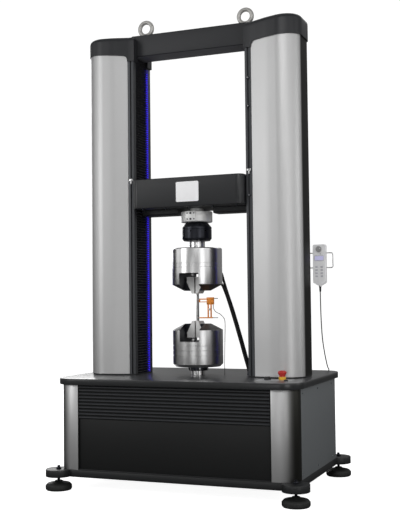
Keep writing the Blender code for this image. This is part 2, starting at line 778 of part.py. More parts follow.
def build_screw(side, word):
    """A ball screw with the toothed pulley on its lower end, on the joint's axis."""
    top = BEAM_BOTTOM - GAP
    journal = SCREW_RADIUS - 0.004
    profile = [
        (0, top), (SCREW_RADIUS, top), (SCREW_RADIUS, BEARING_TOP + 0.02),
        (journal, BEARING_TOP + 0.02), (journal, PULLEY_TOP),
        (PULLEY_RADIUS, PULLEY_TOP), (PULLEY_RADIUS, PULLEY_LOW),
        (journal, PULLEY_LOW), (journal, PULLEY_LOW - 0.012), (0, PULLEY_LOW - 0.012),
    ]
    turned(f"ball_screw_{word}", profile, 28, look="bright_steel", at=(side * SCREW_X, LOAD_AXIS_Y, 0))


# Drive under the table

def belt_loop(grow):
    """The convex loop round the two screw pulleys and the motor pulley."""
    wheels = [
        (Vector((-SCREW_X, 0)), PULLEY_RADIUS + grow),
        (Vector((SCREW_X, 0)), PULLEY_RADIUS + grow),
        (Vector((MOTOR_X, MOTOR_Y)), MOTOR_PULLEY_RADIUS + grow),
    ]
    loop = []
    for index, (centre, radius) in enumerate(wheels):
        angles = []
        for other, other_radius in (wheels[index - 1], wheels[(index + 1) % 3]):
            line = other - centre
            side = 1 if other is wheels[index - 1][0] else -1
            tilt = math.acos((radius - other_radius) / line.length)
            angles.append(math.atan2(line.y, line.x) + side * tilt)
        start, end = angles
        while end < start:
            end += 2 * math.pi
        for step in range(15):
            angle = start + (end - start) * step / 14
            loop.append(centre + radius * Vector((math.cos(angle), math.sin(angle))))
    return from_axis(loop)


def build_drive():
    """Bearing beam on its two webs, motor, motor pulley and toothed belt."""
    half = BEARING_BEAM_DEPTH / 2
    beam = box("bearing_beam", (-BEARING_BEAM_END, LOAD_AXIS_Y - half, BEARING_BOTTOM),
               (BEARING_BEAM_END, LOAD_AXIS_Y + half, BEARING_TOP), look="black_paint")
    for side, word in ((-1, "left"), (1, "right")):
        x_values = sorted((side * (BEARING_BEAM_END - WEB_THICKNESS), side * BEARING_BEAM_END))
        web = box(f"web_{word}", (x_values[0], LOAD_AXIS_Y - half, FRAME_TOP + GAP),
                  (x_values[1], LOAD_AXIS_Y + half, BEARING_BOTTOM + 0.01))
        combine(beam, web, "UNION")
        bore = rod(f"bearing_bore_{word}", SCREW_RADIUS - 0.004 + RUNNING_GAP, BEARING_BOTTOM - 0.05,
                   BEARING_TOP + 0.05, 24, at=(side * SCREW_X, LOAD_AXIS_Y, 0))
        combine(beam, bore)
    motor_at = (MOTOR_X, LOAD_AXIS_Y + MOTOR_Y, 0)
    motor = turned("servo_motor", [
        (0, MOTOR_TOP + 0.004), (MOTOR_RADIUS * 0.6, MOTOR_TOP + 0.004), (MOTOR_RADIUS * 0.6, MOTOR_TOP),
        (MOTOR_RADIUS, MOTOR_TOP), (MOTOR_RADIUS, FRAME_TOP + GAP), (0, FRAME_TOP + GAP),
    ], 28, look="black_paint", at=motor_at)
    flange = box("motor_flange", (-MOTOR_RADIUS - 0.004, -MOTOR_RADIUS - 0.004, MOTOR_TOP - 0.016),
                 (MOTOR_RADIUS + 0.004, MOTOR_RADIUS + 0.004, MOTOR_TOP - 0.004), at=motor_at)
    combine(motor, flange, "UNION")
    turned("motor_pulley", [
        (0, PULLEY_TOP), (MOTOR_PULLEY_RADIUS, PULLEY_TOP), (MOTOR_PULLEY_RADIUS, PULLEY_LOW),
        (0.011, PULLEY_LOW), (0.011, MOTOR_TOP + 0.004 + GAP), (0, MOTOR_TOP + 0.004 + GAP),
    ], 24, look="bright_steel", at=motor_at)
    belt = prism("drive_belt", belt_loop(RUNNING_GAP + BELT_THICKNESS), PULLEY_LOW + 0.003,
                 PULLEY_TOP - 0.003, look="hose_rubber")
    inside = prism("belt_inside", belt_loop(RUNNING_GAP), PULLEY_LOW - 0.05, PULLEY_TOP + 0.05)
    combine(belt, inside)


# Top of the machine

def cap_plan(grow):
    """The plan of a column's cover and extrusions, grown outwards for its cap."""
    column = [
        (STRIP_INNER_X, LOAD_AXIS_Y - STRIP_FRONT_Y),
        *cover_outline(),
        (STRIP_INNER_X, LOAD_AXIS_Y + COVER_REAR_Y),
    ]
    return grown(column, grow)


def build_caps():
    """Moulded caps whose skirts drop over the extrusions and arch over the covers."""
    low = BEAM_BOTTOM - CAP_SKIRT_DROP
    edge = BEAM_BOTTOM
    for side, word in ((-1, "left"), (1, "right")):
        cap = domed(f"top_cap_{word}", mirrored(cap_plan(CAP_CLEARANCE + CAP_WALL), side), low, CAP_TOP,
                    CAP_EDGE_ROUND, look="black_paint")
        hollow = domed(f"cap_hollow_{word}", mirrored(cap_plan(CAP_CLEARANCE), side), low - 0.05,
                       CAP_TOP - CAP_WALL, CAP_EDGE_ROUND - CAP_WALL)
        combine(cap, hollow)
        window = [
            (COVER_INNER_X, low - 0.05, 0),
            (COVER_INNER_X, edge, CAP_WINDOW_RADIUS),
            (COVER_OUTER_X + 0.05, edge + CAP_RISE, 0),
            (COVER_OUTER_X + 0.05, low - 0.05, 0),
        ]
        cutter = prism(f"cap_window_{word}", mirrored(fillet(window), side), LOAD_AXIS_Y - 0.3,
                       LOAD_AXIS_Y + 0.3, "Y")
        combine(cap, cutter)
        half = BEAM_DEPTH / 2 + GAP
        xs = sorted((0, side * COVER_INNER_X))
        doorway = box(f"cap_doorway_{word}", (xs[0], LOAD_AXIS_Y - half, low - 0.05),
                      (xs[1], LOAD_AXIS_Y + half, BEAM_TOP + GAP))
        combine(cap, doorway)


def build_top_beam():
    """The fixed beam that ties the columns, bored for nothing: screws and guides end under it."""
    half = BEAM_DEPTH / 2
    end = GUIDE_X + GUIDE_RADIUS + BEAM_PAST_GUIDE
    beam = box("top_beam", (-end, LOAD_AXIS_Y - half, BEAM_BOTTOM), (end, LOAD_AXIS_Y + half, BEAM_TOP),
               look="black_paint")
    bevel(beam, BEAM_EDGE_ROUND)


def build_eye_bolts():
    """Two forged lifting eyes with a collar, facing the front."""
    for side, word in ((-1, "left"), (1, "right")):
        centre = BEAM_TOP + GAP + EYE_NECK + EYE_RADIUS + EYE_WIRE * 0.55
        place = {"at": (side * EYE_X, LOAD_AXIS_Y, 0)}
        bm = bmesh.new()
        ring = bmesh.ops.create_circle(
            bm, segments=10, radius=EYE_WIRE,
            matrix=Matrix.Translation((EYE_RADIUS, 0, 0)) @ Matrix.Rotation(math.radians(90), 4, "X"),
        )
        edges = list({edge for vert in ring["verts"] for edge in vert.link_edges})
        bmesh.ops.spin(bm, geom=ring["verts"] + edges, axis=(0, 0, 1), cent=(0, 0, 0), steps=28,
                       angle=2 * math.pi)
        bmesh.ops.remove_doubles(bm, verts=bm.verts, dist=0.00001)
        upright = Matrix.Translation((0, 0, centre)) @ Matrix.Rotation(math.radians(90), 4, "X")
        bmesh.ops.transform(bm, matrix=upright, verts=bm.verts)
        eye = add(f"eye_bolt_{word}", mesh_from(f"eye_bolt_{word}", bm), "bright_steel", **place)
        low = BEAM_TOP + GAP
        collar = turned(f"eye_collar_{word}", [
            (0, low + EYE_NECK + 0.006), (EYE_WIRE, low + EYE_NECK + 0.006),
            (EYE_WIRE + 0.001, low + EYE_NECK), (EYE_COLLAR, low + 0.007), (EYE_COLLAR, low), (0, low),
        ], SMALL_SIDES, **place)
        combine(eye, collar, "UNION")


# Crosshead

def crosshead_plan(inset):
    """The crosshead's plan with its rounded corners, moved inwards by a wall."""
    x = CROSSHEAD_HALF - inset
    y = CROSSHEAD_DEPTH / 2 - inset
    corner = CROSSHEAD_CORNER - inset
    return fillet([(-x, -y, corner), (x, -y, corner), (x, y, corner), (-x, y, corner)])


def build_crosshead(carriage):
    """The beam with its arms, nuts and lower ribs, and the cover over it."""
    inner = SHEET + GAP
    height = CROSSHEAD_HEIGHT
    beam = prism("crosshead_beam", crosshead_plan(inner), 0, height - inner, look="black_paint",
                 parent=carriage)
    for side, word in ((-1, "left"), (1, "right")):
        xs = sorted((side * (CROSSHEAD_HALF - 0.05), side * ARM_END))
        arm = box(f"arm_{word}", (xs[0], -ARM_DEPTH / 2, ARM_INSET),
                  (xs[1], ARM_DEPTH / 2, height - ARM_INSET),
                  parent=carriage)
        combine(beam, arm, "UNION")
        rib_profile = fillet([
            (-RIB_FRONT_Y, -RIB_DROP, RIB_ROUND), (-RIB_FRONT_Y + RIB_DEPTH, -RIB_DROP, RIB_ROUND),
            (-RIB_FRONT_Y + RIB_DEPTH, 0.01, 0), (-RIB_FRONT_Y, 0.01, 0),
        ], 4)
        ends = sorted((side * RIB_INNER, side * (CROSSHEAD_HALF - inner)))
        rib = prism(f"rib_{word}", rib_profile, ends[0], ends[1], "X", parent=carriage)
        combine(beam, rib, "UNION")
        nut = rod(f"ball_nut_{word}", SCREW_RADIUS + 0.018, ARM_INSET - 0.030, height - ARM_INSET + 0.006,
                  24, at=(side * SCREW_X, 0, 0), parent=carriage)
        combine(beam, nut, "UNION")
        for hole, hole_x, radius in (("screw", SCREW_X, SCREW_RADIUS), ("guide", GUIDE_X, GUIDE_RADIUS)):
            bore = rod(f"arm_{hole}_bore_{word}", radius + RUNNING_GAP, -0.2, height + 0.2, 24,
                       at=(side * hole_x, 0, 0), parent=carriage)
            combine(beam, bore)
    cover = prism("crosshead_cover", crosshead_plan(0), 0, height, look="black_paint", parent=carriage)
    bevel(cover, 0.004, 2, 60)
    hollow = prism("crosshead_hollow", crosshead_plan(SHEET), -0.05, height - SHEET, parent=carriage)
    combine(cover, hollow)
    doorway = box("arm_doorway", (-CROSSHEAD_HALF - 0.05, -ARM_DEPTH / 2 - GAP, -0.05),
                  (CROSSHEAD_HALF + 0.05, ARM_DEPTH / 2 + GAP, height - ARM_INSET + GAP), parent=carriage)
    combine(cover, doorway)


# Load train

def build_load_train(carriage):
    """Load cell with its milled plate, and the ring nut under it. Heights count from the crosshead."""
    top = -GAP
    cell_top = CELL_TOP - CROSSHEAD_BOTTOM
    low = cell_top - CELL_HEIGHT
    cell = turned("load_cell", [
        (0, top), (CELL_NECK_RADIUS, top), (CELL_NECK_RADIUS, cell_top), (CELL_RADIUS - 0.002, cell_top),
        (CELL_RADIUS, cell_top - 0.002), (CELL_RADIUS, low + 0.002), (CELL_RADIUS - 0.002, low), (0, low),
    ], look="bright_steel", parent=carriage)
    half = CELL_PLATE / 2
    plate = box("cell_plate", (-half, -CELL_RADIUS - CELL_PLATE_DEPTH, low + 0.001),
                (half, -CELL_RADIUS + 0.02, cell_top - 0.001), parent=carriage)
    combine(cell, plate, "UNION")
    ring_top = RING_TOP - CROSSHEAD_BOTTOM
    ring_low = RING_BOTTOM - CROSSHEAD_BOTTOM
    turned("ring_nut", [
        (0, ring_top), (RING_TOP_RADIUS, ring_top), (RING_RADIUS, ring_top - RING_TOP_CHAMFER),
        (RING_RADIUS, ring_low + RING_LOW_CHAMFER), (RING_RADIUS - RING_LOW_CHAMFER * 0.7, ring_low),
        (0, ring_low),
    ], look="black_oxide", parent=carriage)


def wedge_x(height):
    """The wedge's slope: half the mouth's width at a height above the mouth."""
    return JAW_FACE + JAW_NOSE + (height + JAW_OUT) * math.tan(WEDGE_ANGLE)


def grip_body(name, flip, at, parent):
    """A wedge grip's turned body, slotted for the jaws. It opens downwards, or upwards if flipped."""
    sign = -1 if flip else 1
    chamfer = GRIP_CHAMFER
    radius = GRIP_RADIUS
    height = GRIP_HEIGHT
    stem = SPIGOT_LENGTH if flip else SHANK_LENGTH
    stem_radius = SPIGOT_RADIUS if flip else SHANK_RADIUS
    profile = [
        (0, height + stem), (stem_radius, height + stem), (stem_radius, height),
        (radius - chamfer, height), (radius, height - chamfer if flip else height - 0.002),
        (radius, GRIP_GROOVE + GROOVE_WIDTH / 2), (radius - GROOVE_DEPTH, GRIP_GROOVE),
        (radius, GRIP_GROOVE - GROOVE_WIDTH / 2), (radius, GRIP_CONE), (GRIP_MOUTH_RADIUS, 0), (0, 0),
    ]
    if not flip:
        profile[3] = (radius - 0.002, height)
    if flip:
        profile = [(spot_radius, -spot_height) for spot_radius, spot_height in reversed(profile)]
    body = turned(name, profile, 40, look="turned_steel", at=at, parent=parent)
    half = SLOT_WIDTH / 2
    seat = SEAT_DEPTH / 2
    top = SLOT_HEIGHT
    gap = GAP / math.cos(WEDGE_ANGLE)
    turn_height = (half - gap - JAW_FACE - JAW_NOSE) / math.tan(WEDGE_ANGLE) - JAW_OUT
    low_x = wedge_x(-JAW_OUT) + gap
    right = [(low_x, -JAW_OUT), (half, turn_height), (half, top)]
    left = [(-x, z) for x, z in reversed(right)]
    outline = [(x, sign * z) for x, z in right + left]
    channel = prism(f"{name}_channel", outline, -seat - 0.0005, seat + 0.0005, "Y", at=at, parent=parent)
    combine(body, channel)
    for word, near, far in (("front", -0.2, -seat), ("rear", seat, 0.2)):
        lows = (-half, near, min(sign * -0.05, sign * top))
        highs = (half, far, max(sign * -0.05, sign * top))
        combine(body, box(f"{name}_slot_{word}", lows, highs, at=at, parent=parent))
    return body


def jaw(name, side, flip, at, parent):
    """A wedge jaw whose flat face meets the specimen. Its origin lies on its slide."""
    sign = -1 if flip else 1
    shoulder = (JAW_SHOULDER - JAW_FACE - JAW_NOSE) / math.tan(WEDGE_ANGLE) - JAW_OUT
    outline = [
        (JAW_FACE, -JAW_OUT), (wedge_x(-JAW_OUT), -JAW_OUT), (JAW_SHOULDER, shoulder),
        (JAW_SHOULDER, JAW_HEIGHT - JAW_OUT), (JAW_FACE, JAW_HEIGHT - JAW_OUT),
    ]
    outline = [(side * x, sign * z) for x, z in outline]
    depth = SEAT_DEPTH / 2 - 0.002
    return prism(name, outline, -depth, depth, "Y", look="bright_steel", at=at, parent=parent)


def build_grips(carriage):
    """Both grips with their jaws, the specimen and the lower adapter."""
    upper = UPPER_MOUTH - CROSSHEAD_BOTTOM
    grip_body("upper_grip", False, (0, 0, upper), carriage)
    for side, word in ((-1, "left"), (1, "right")):
        jaw(f"upper_jaw_{word}", side, False, (0, 0, upper), carriage)
    lower_at = (0, LOAD_AXIS_Y, LOWER_MOUTH)
    grip_body("lower_grip", True, lower_at, None)
    for side, word in ((-1, "left"), (1, "right")):
        jaw(f"lower_jaw_{word}", side, True, lower_at, None)
    half = SPECIMEN_THICKNESS / 2
    box("specimen", (-half, LOAD_AXIS_Y - SPECIMEN_WIDTH / 2, LOWER_MOUTH - SPECIMEN_GRIPPED),
        (half, LOAD_AXIS_Y + SPECIMEN_WIDTH / 2, UPPER_MOUTH + SPECIMEN_GRIPPED), look="bright_steel")
    top = LOWER_GRIP_BOTTOM - GAP
    low = TABLE_TOP + GAP
    bore = SPIGOT_RADIUS + GAP
    floor = top - SPIGOT_LENGTH - GAP
    turned("lower_adapter", [
        (0, floor), (bore, floor), (bore, top), (ADAPTER_RING_RADIUS - 0.002, top),
        (ADAPTER_RING_RADIUS, top - 0.002),
        (ADAPTER_RING_RADIUS, top - ADAPTER_RING_HEIGHT + 0.002),
        (ADAPTER_RING_RADIUS - 0.002, top - ADAPTER_RING_HEIGHT),
        (ADAPTER_RADIUS, top - ADAPTER_RING_HEIGHT), (ADAPTER_RADIUS, low), (0, low),
    ], look="bright_steel", at=(0, LOAD_AXIS_Y, 0))


def build_extensometer():
    """The clip-on strain sensor: two arms to the specimen, two legs, a block and two rods."""
    half = EXT_DEPTH / 2
    near = SPECIMEN_THICKNESS / 2 + GAP
    high = GAUGE_MIDDLE + GAUGE_LENGTH / 2
    low = GAUGE_MIDDLE - GAUGE_LENGTH / 2
    end = EXT_BLOCK_X + EXT_BLOCK_LENGTH
    at = (0, LOAD_AXIS_Y, 0)
    body = box("extensometer", (EXT_BLOCK_X, -half, high - EXT_BLOCK_HEIGHT), (end, half, high + EXT_ARM),
               look="sensor_orange", at=at)
    pieces = {
        "upper_arm": ((near, -half + 0.002, high - EXT_ARM), (EXT_BLOCK_X + 0.004, half - 0.002, high)),
        "lower_arm": ((near, -half + 0.002, low - EXT_ARM / 2),
                      (end - 0.006, half - 0.002, low + EXT_ARM / 2)),
        "front_leg": ((EXT_BLOCK_X + 0.001, -half + 0.003, low),
                      (EXT_BLOCK_X + 0.001 + EXT_LEG, half - 0.003, high - 0.01)),
        "rear_leg": ((end - 0.016, -half + 0.003, low), (end - 0.016 + EXT_LEG, half - 0.003, high - 0.01)),
    }
    for word, (near_corner, far_corner) in pieces.items():
        combine(body, box(f"extensometer_{word}", near_corner, far_corner, at=at), "UNION")
    for word, height in (("upper", high), ("lower", low)):
        start = end - 0.010
        rod_turn = Matrix.Rotation(math.radians(90), 4, "Y")
        piece = rod(f"extensometer_{word}_rod", EXT_ROD_RADIUS, start, EXT_ROD_END, 8, rod_turn,
                    at=(0, LOAD_AXIS_Y, height))
        combine(body, piece, "UNION")


# Controls, handset and cords

def build_controls():
    """Emergency stop on its yellow collar, and the power switch knob."""
    at = (ESTOP_X, LOAD_AXIS_Y - ESTOP_Y, TABLE_TOP + GAP)
    bore = ESTOP_STEM_RADIUS + GAP
    top = ESTOP_BASE_HEIGHT
    stem_low = top - ESTOP_TRAVEL
    floor = stem_low - ESTOP_TRAVEL - RUNNING_GAP
    turned("stop_collar", [
        (0, floor), (bore, floor), (bore, top), (ESTOP_BASE_RADIUS, top),
        (ESTOP_BASE_RADIUS, 0), (0, 0),
    ], 24, look="stop_yellow", at=at)
    flare = top + ESTOP_TRAVEL + RUNNING_GAP
    head = top + ESTOP_HEAD_HEIGHT
    turned("stop_button", [
        (0, head), (ESTOP_HEAD_RADIUS * 0.6, head - 0.001), (ESTOP_HEAD_RADIUS * 0.92, head - 0.004),
        (ESTOP_HEAD_RADIUS, head - 0.008), (ESTOP_STEM_RADIUS, flare), (ESTOP_STEM_RADIUS, stem_low),
        (0, stem_low),
    ], 24, look="stop_red", at=at)
    turned("power_knob", [
        (0, KNOB_HEIGHT), (KNOB_RADIUS * 0.75, KNOB_HEIGHT), (KNOB_RADIUS * 0.86, KNOB_HEIGHT - 0.003),
        (KNOB_RADIUS, 0.005), (KNOB_RADIUS, 0), (0, 0),
    ], 24, look="black_paint", at=(KNOB_X, LOAD_AXIS_Y - ESTOP_Y, TABLE_TOP + GAP))


def handset_front_y():
    """The handset's front face, in the machine's frame."""
    return LOAD_AXIS_Y + COVER_REAR_Y + BRACKET_BEHIND - BRACKET_WIRE - GAP - HANDSET_DEPTH


def build_handset():
    """Pendant, jog wheel, wire bracket and the boot at the pendant's lower end."""
    front = handset_front_y()
    half = HANDSET_WIDTH / 2
    low = HANDSET_TOP - HANDSET_LENGTH
    outline = fillet([
        (HANDSET_X - half, HANDSET_TOP, 0.012), (HANDSET_X - half, low + HANDSET_POINT, 0.012),
        (HANDSET_X - 0.008, low, 0.003), (HANDSET_X + 0.008, low, 0.003),
        (HANDSET_X + half, low + HANDSET_POINT, 0.012), (HANDSET_X + half, HANDSET_TOP, 0.012),
    ], 3)
    body = prism("handset", outline, front, front + HANDSET_DEPTH, "Y", look="handset_grey")
    bevel(body, 0.003, 2, 60)
    middle_y = front + HANDSET_DEPTH / 2
    boot_at = (HANDSET_X, middle_y, low)
    boot = rod("handset_boot", BOOT_RADIUS, -BOOT_LENGTH, 0.01, 12, at=boot_at)
    combine(body, boot, "UNION")
    turned("jog_wheel", [
        (0, JOG_HEIGHT), (JOG_RADIUS - 0.002, JOG_HEIGHT), (JOG_RADIUS, JOG_HEIGHT - 0.002), (JOG_RADIUS, 0),
        (0, 0),
    ], 24, look="black_paint",
        at=(HANDSET_X, front - GAP, HANDSET_TOP - JOG_FROM_TOP)).rotation_euler.x = math.radians(90)
    build_bracket()


def build_bracket():
    """The bent wire that the handset hangs on, welded from one rod."""
    back = LOAD_AXIS_Y + COVER_REAR_Y + BRACKET_BEHIND
    root = LOAD_AXIS_Y + COVER_REAR_Y + GAP
    high = BRACKET_MIDDLE_Z + BRACKET_HEIGHT / 2
    low = BRACKET_MIDDLE_Z - BRACKET_HEIGHT / 2
    bend = 0.010
    right = BRACKET_END_X - BRACKET_WIRE
    left = BRACKET_ROOT_X
    corners = [
        Vector((left, root, high)), Vector((left, back, high)), Vector((right, back, high)),
        Vector((right, back, low)), Vector((left, back, low)), Vector((left, root, low)),
    ]
    route = [corners[0]]
    for before, here, after in zip(corners, corners[1:], corners[2:]):
        start = here + (before - here).normalized() * bend
        end = here + (after - here).normalized() * bend
        for step in range(5):
            t = step / 4
            route.append((1 - t) ** 2 * start + 2 * t * (1 - t) * here + t * t * end)
    route.append(corners[-1])
    tube("handset_bracket", route, BRACKET_WIRE, "bright_steel")


def hose_route(index):
    """One hose's way from its port behind the upper grip down to the table.

    Both ports face the rear, one above the other. Below them the hoses run side by side, and
    their common way is given in shares of the distance from the upper port to the table.
    """
    shift = Vector(((index - 0.5) * HOSE_PITCH_X, (index - 0.5) * HOSE_PITCH_Y, 0))
    high = Vector((HOSE_PORT_X, LOAD_AXIS_Y + GRIP_RADIUS, UPPER_MOUTH + HOSE_PORT_ABOVE_MOUTH))
    foot = Vector((STRIP_INNER_X - HOSE_FOOT_TO_STRIP, LOAD_AXIS_Y + HOSE_FOOT_Y, TABLE_TOP + GAP))
    start = Vector((
        HOSE_PORT_X, LOAD_AXIS_Y + math.sqrt(GRIP_RADIUS ** 2 - HOSE_PORT_X ** 2) + HOSE_RADIUS,
        high.z - (1 - index) * HOSE_PORT_PITCH,
    ))
    points = [start, start + Vector((HOSE_RADIUS * 3.64, HOSE_RADIUS * 2.60, -HOSE_RADIUS * 1.82))]
    shares = [
        (0.285, 0.15, 0.21), (0.477, 0.40, 0.386), (0.70, 0.70, 0.615), (0.90, 0.94, 0.841),
        (0.995, 1, 0.955), (1, 1, 1),
    ]
    if index == 1:
        shares.insert(0, (0.20, -0.03, 0.095))
    for across, behind, down in shares:
        points.append(shift + Vector((
            high.x + across * (foot.x - high.x), high.y + behind * (foot.y - high.y),
            high.z + down * (foot.z - high.z),
        )))
    return smooth_route(points, 0.020)


def build_cords():
    """Two hoses to the upper grip, the sensor's cable and the handset's cord."""
    for index, name in enumerate(("air_hose_front", "air_hose_rear")):
        tube(name, hose_route(index), HOSE_RADIUS, "hose_rubber")
    y = LOAD_AXIS_Y
    block_end = EXT_BLOCK_X + EXT_BLOCK_LENGTH
    block_low = GAUGE_MIDDLE + GAUGE_LENGTH / 2 - EXT_BLOCK_HEIGHT
    points = [
        Vector((block_end - 0.003, y, block_low - GAP)), Vector((block_end - 0.002, y, block_low - 0.018)),
        Vector((block_end + 0.010, y, block_low - 0.034)), Vector((block_end + 0.030, y, block_low - 0.044)),
        Vector((block_end + 0.049, y, block_low - 0.064)), Vector((block_end + 0.0535, y, block_low - 0.090)),
        Vector((block_end + 0.052, y, block_low - 0.150)), Vector((block_end + 0.050, y, block_low - 0.230)),
        Vector((block_end + 0.049, y, TABLE_TOP + 0.030)), Vector((block_end + 0.049, y, TABLE_TOP + GAP)),
    ]
    tube("sensor_cable", smooth_route(points, 0.0065), SENSOR_CABLE_RADIUS, "cable_grey")
    boot_low = HANDSET_TOP - HANDSET_LENGTH - BOOT_LENGTH
    start_y = handset_front_y() + HANDSET_DEPTH / 2
    table_rear = BASE_DEPTH / 2 + TABLE_OVERHANG
    rear = BASE_DEPTH / 2
    points = [
        Vector((HANDSET_X, start_y, boot_low - GAP)),
        Vector((HANDSET_X, start_y + 0.001, boot_low - 0.040)),
        Vector((HANDSET_X - 0.003, start_y + 0.018, boot_low - 0.120)),
        Vector((HANDSET_X - 0.010, start_y + 0.063, boot_low - 0.210)),
        Vector((HANDSET_X - 0.021, start_y + 0.143, boot_low - 0.285)),
        Vector((HANDSET_X - 0.033, table_rear - 0.050, TABLE_TOP + 0.022)),
        Vector((HANDSET_X - 0.040, table_rear + 0.002, TABLE_TOP + 0.004)),
        Vector((HANDSET_X - 0.046, table_rear + 0.014, TABLE_TOP - 0.030)),
        Vector((HANDSET_X - 0.060, table_rear + 0.014, TABLE_TOP - 0.090)),
        Vector((HANDSET_X - 0.080, table_rear + 0.010, TABLE_TOP - 0.150)),
        Vector((HANDSET_X - 0.092, rear + 0.012, TABLE_TOP - 0.180)),
    ]
    socket = Vector((HANDSET_X - 0.092, rear + GAP, TABLE_TOP - 0.180))
    tube("handset_cord", [*smooth_route(points, 0.0115), socket], CORD_RADIUS, "cable_grey")


def build():
    """Builds the whole machine."""
    build_base_frame()
    build_feet()
    build_tabletop()
    build_cabinet_panels()
    build_columns()
    build_drive()
    build_caps()
    build_top_beam()
    build_eye_bolts()
    carriage = add_pivot("crosshead_carriage", (0, LOAD_AXIS_Y, CROSSHEAD_BOTTOM))
    build_crosshead(carriage)
    build_load_train(carriage)
    build_grips(carriage)
    build_extensometer()
    build_controls()
    build_handset()
    build_cords()


build()
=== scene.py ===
"""Visual model of a floor-standing universal testing machine, built over its CAD frame.

Lengths are in metres in the row frame: X to the machine's right, Y to its back and Z up, with the
origin on the floor under the middle of the base. Each class builds one sub-assembly, and every piece
it makes rides on the CAD body that carries it.
"""
import logging
import math
from collections.abc import Iterable, Sequence
from dataclasses import dataclass
from enum import Enum
from functools import cache

import bmesh
import bpy
from mathutils import Matrix, Vector


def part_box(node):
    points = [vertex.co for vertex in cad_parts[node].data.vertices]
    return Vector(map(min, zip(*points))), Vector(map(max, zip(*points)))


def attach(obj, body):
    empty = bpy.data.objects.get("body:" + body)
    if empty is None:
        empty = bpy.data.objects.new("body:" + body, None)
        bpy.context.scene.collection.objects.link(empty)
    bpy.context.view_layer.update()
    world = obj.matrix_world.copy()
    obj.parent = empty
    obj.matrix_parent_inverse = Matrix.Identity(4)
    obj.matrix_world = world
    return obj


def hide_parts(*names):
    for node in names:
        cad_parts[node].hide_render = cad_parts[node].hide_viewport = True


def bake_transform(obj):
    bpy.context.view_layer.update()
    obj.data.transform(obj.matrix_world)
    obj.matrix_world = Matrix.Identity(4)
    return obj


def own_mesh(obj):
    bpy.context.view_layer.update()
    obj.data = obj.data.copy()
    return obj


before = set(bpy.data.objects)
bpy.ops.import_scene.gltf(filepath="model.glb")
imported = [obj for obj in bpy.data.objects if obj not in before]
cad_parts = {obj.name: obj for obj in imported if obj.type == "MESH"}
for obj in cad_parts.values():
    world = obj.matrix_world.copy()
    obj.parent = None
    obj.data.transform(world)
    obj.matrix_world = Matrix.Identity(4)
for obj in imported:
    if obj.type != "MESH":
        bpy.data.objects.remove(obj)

LOG = logging.getLogger("testing_machine")

Colour = tuple[float, float, float]
Point = tuple[float, float, float]
Corner = tuple[float, float, float]
Solid = bmesh.types.BMesh
Piece = bpy.types.Object

# Y of the line that the load acts along
AXIS_Y = -0.042
SIDES = ((-1, "left"), (1, "right"))
# A gap that keeps pieces in touch from sharing a face
HAIR = 0.0004
# How far a cutter reaches past what it cuts
PAST = 0.05
# Points nearer than this become one
SAME_SPOT = 1e-6
# Edges that turn by less than this many degrees are shaded smooth
SMOOTH_BELOW = 35.0


class Body(Enum):
    """CAD bodies that pieces ride on."""

    FRAME = "frame"
    CROSSHEAD = "crosshead"
    STOP_BUTTON = "stop_button"
    POWER_KNOB = "power_knob"
    JOG_WHEEL = "jog_wheel"


class Grain(Enum):
    """The fine surface texture of a finish."""

    POWDER = "powder"
    BRUSHED = "brushed"
    TURNED = "turned"
    MOULDED = "moulded"


# Node graphs


class Graph:
    """Adds nodes to a tree and wires them in one call."""

    def __init__(self, tree: bpy.types.NodeTree) -> None:
        self.tree = tree

    def add(self, kind: str, inputs: dict | None = None, **settings) -> bpy.types.Node:
        """Adds a node.

        Args:
            kind: The node's type name.
            inputs: Values or output sockets by the input's name or number.
            settings: The node's own properties.

        Returns:
            The new node.
        """
        node = self.tree.nodes.new(kind)
        for name, value in settings.items():
            setattr(node, name, value)
        for key, value in (inputs or {}).items():
            if isinstance(value, bpy.types.NodeSocket):
                self.tree.links.new(value, node.inputs[key])
            else:
                node.inputs[key].default_value = value
        return node

    def sum_of(self, operation: str, first, second=0.0, maths: str = "ShaderNodeMath"):
        """Adds a maths node and returns its first output."""
        return self.add(maths, {0: first, 1: second}, operation=operation).outputs[0]

    def position(self) -> bpy.types.bpy_prop_collection:
        """The place of each point, as sockets named X, Y and Z."""
        spot = self.add("GeometryNodeInputPosition").outputs[0]
        return self.add("ShaderNodeSeparateXYZ", {0: spot}).outputs

    def hand_out(self, geometry: bpy.types.NodeSocket, finish: bpy.types.NodeSocket) -> None:
        """Makes all copies real, paints them and passes them to the group's output."""
        whole = self.add("GeometryNodeRealizeInstances", {"Geometry": geometry})
        painted = self.add("GeometryNodeSetMaterial", {
            "Geometry": whole.outputs["Geometry"], "Material": finish,
        })
        self.add("NodeGroupOutput", {"Geometry": painted.outputs["Geometry"]})


def new_group(name: str, kind: str, inputs: dict[str, str], outputs: dict[str, str]) -> Graph:
    """Makes a node group with its sockets and both interface nodes.

    Args:
        name: The group's name.
        kind: "ShaderNodeTree" or "GeometryNodeTree".
        inputs: Socket types by name.
        outputs: Socket types by name.

    Returns:
        The group's graph.
    """
    tree = bpy.data.node_groups.new(name, kind)
    for socket, socket_type in inputs.items():
        tree.interface.new_socket(socket, in_out="INPUT", socket_type=socket_type)
    for socket, socket_type in outputs.items():
        tree.interface.new_socket(socket, in_out="OUTPUT", socket_type=socket_type)
    return Graph(tree)


NUMBER = "NodeSocketFloat"
VECTOR = "NodeSocketVector"
COLOUR = "NodeSocketColor"
WHOLE = "NodeSocketInt"
GEOMETRY = "NodeSocketGeometry"
MATERIAL = "NodeSocketMaterial"


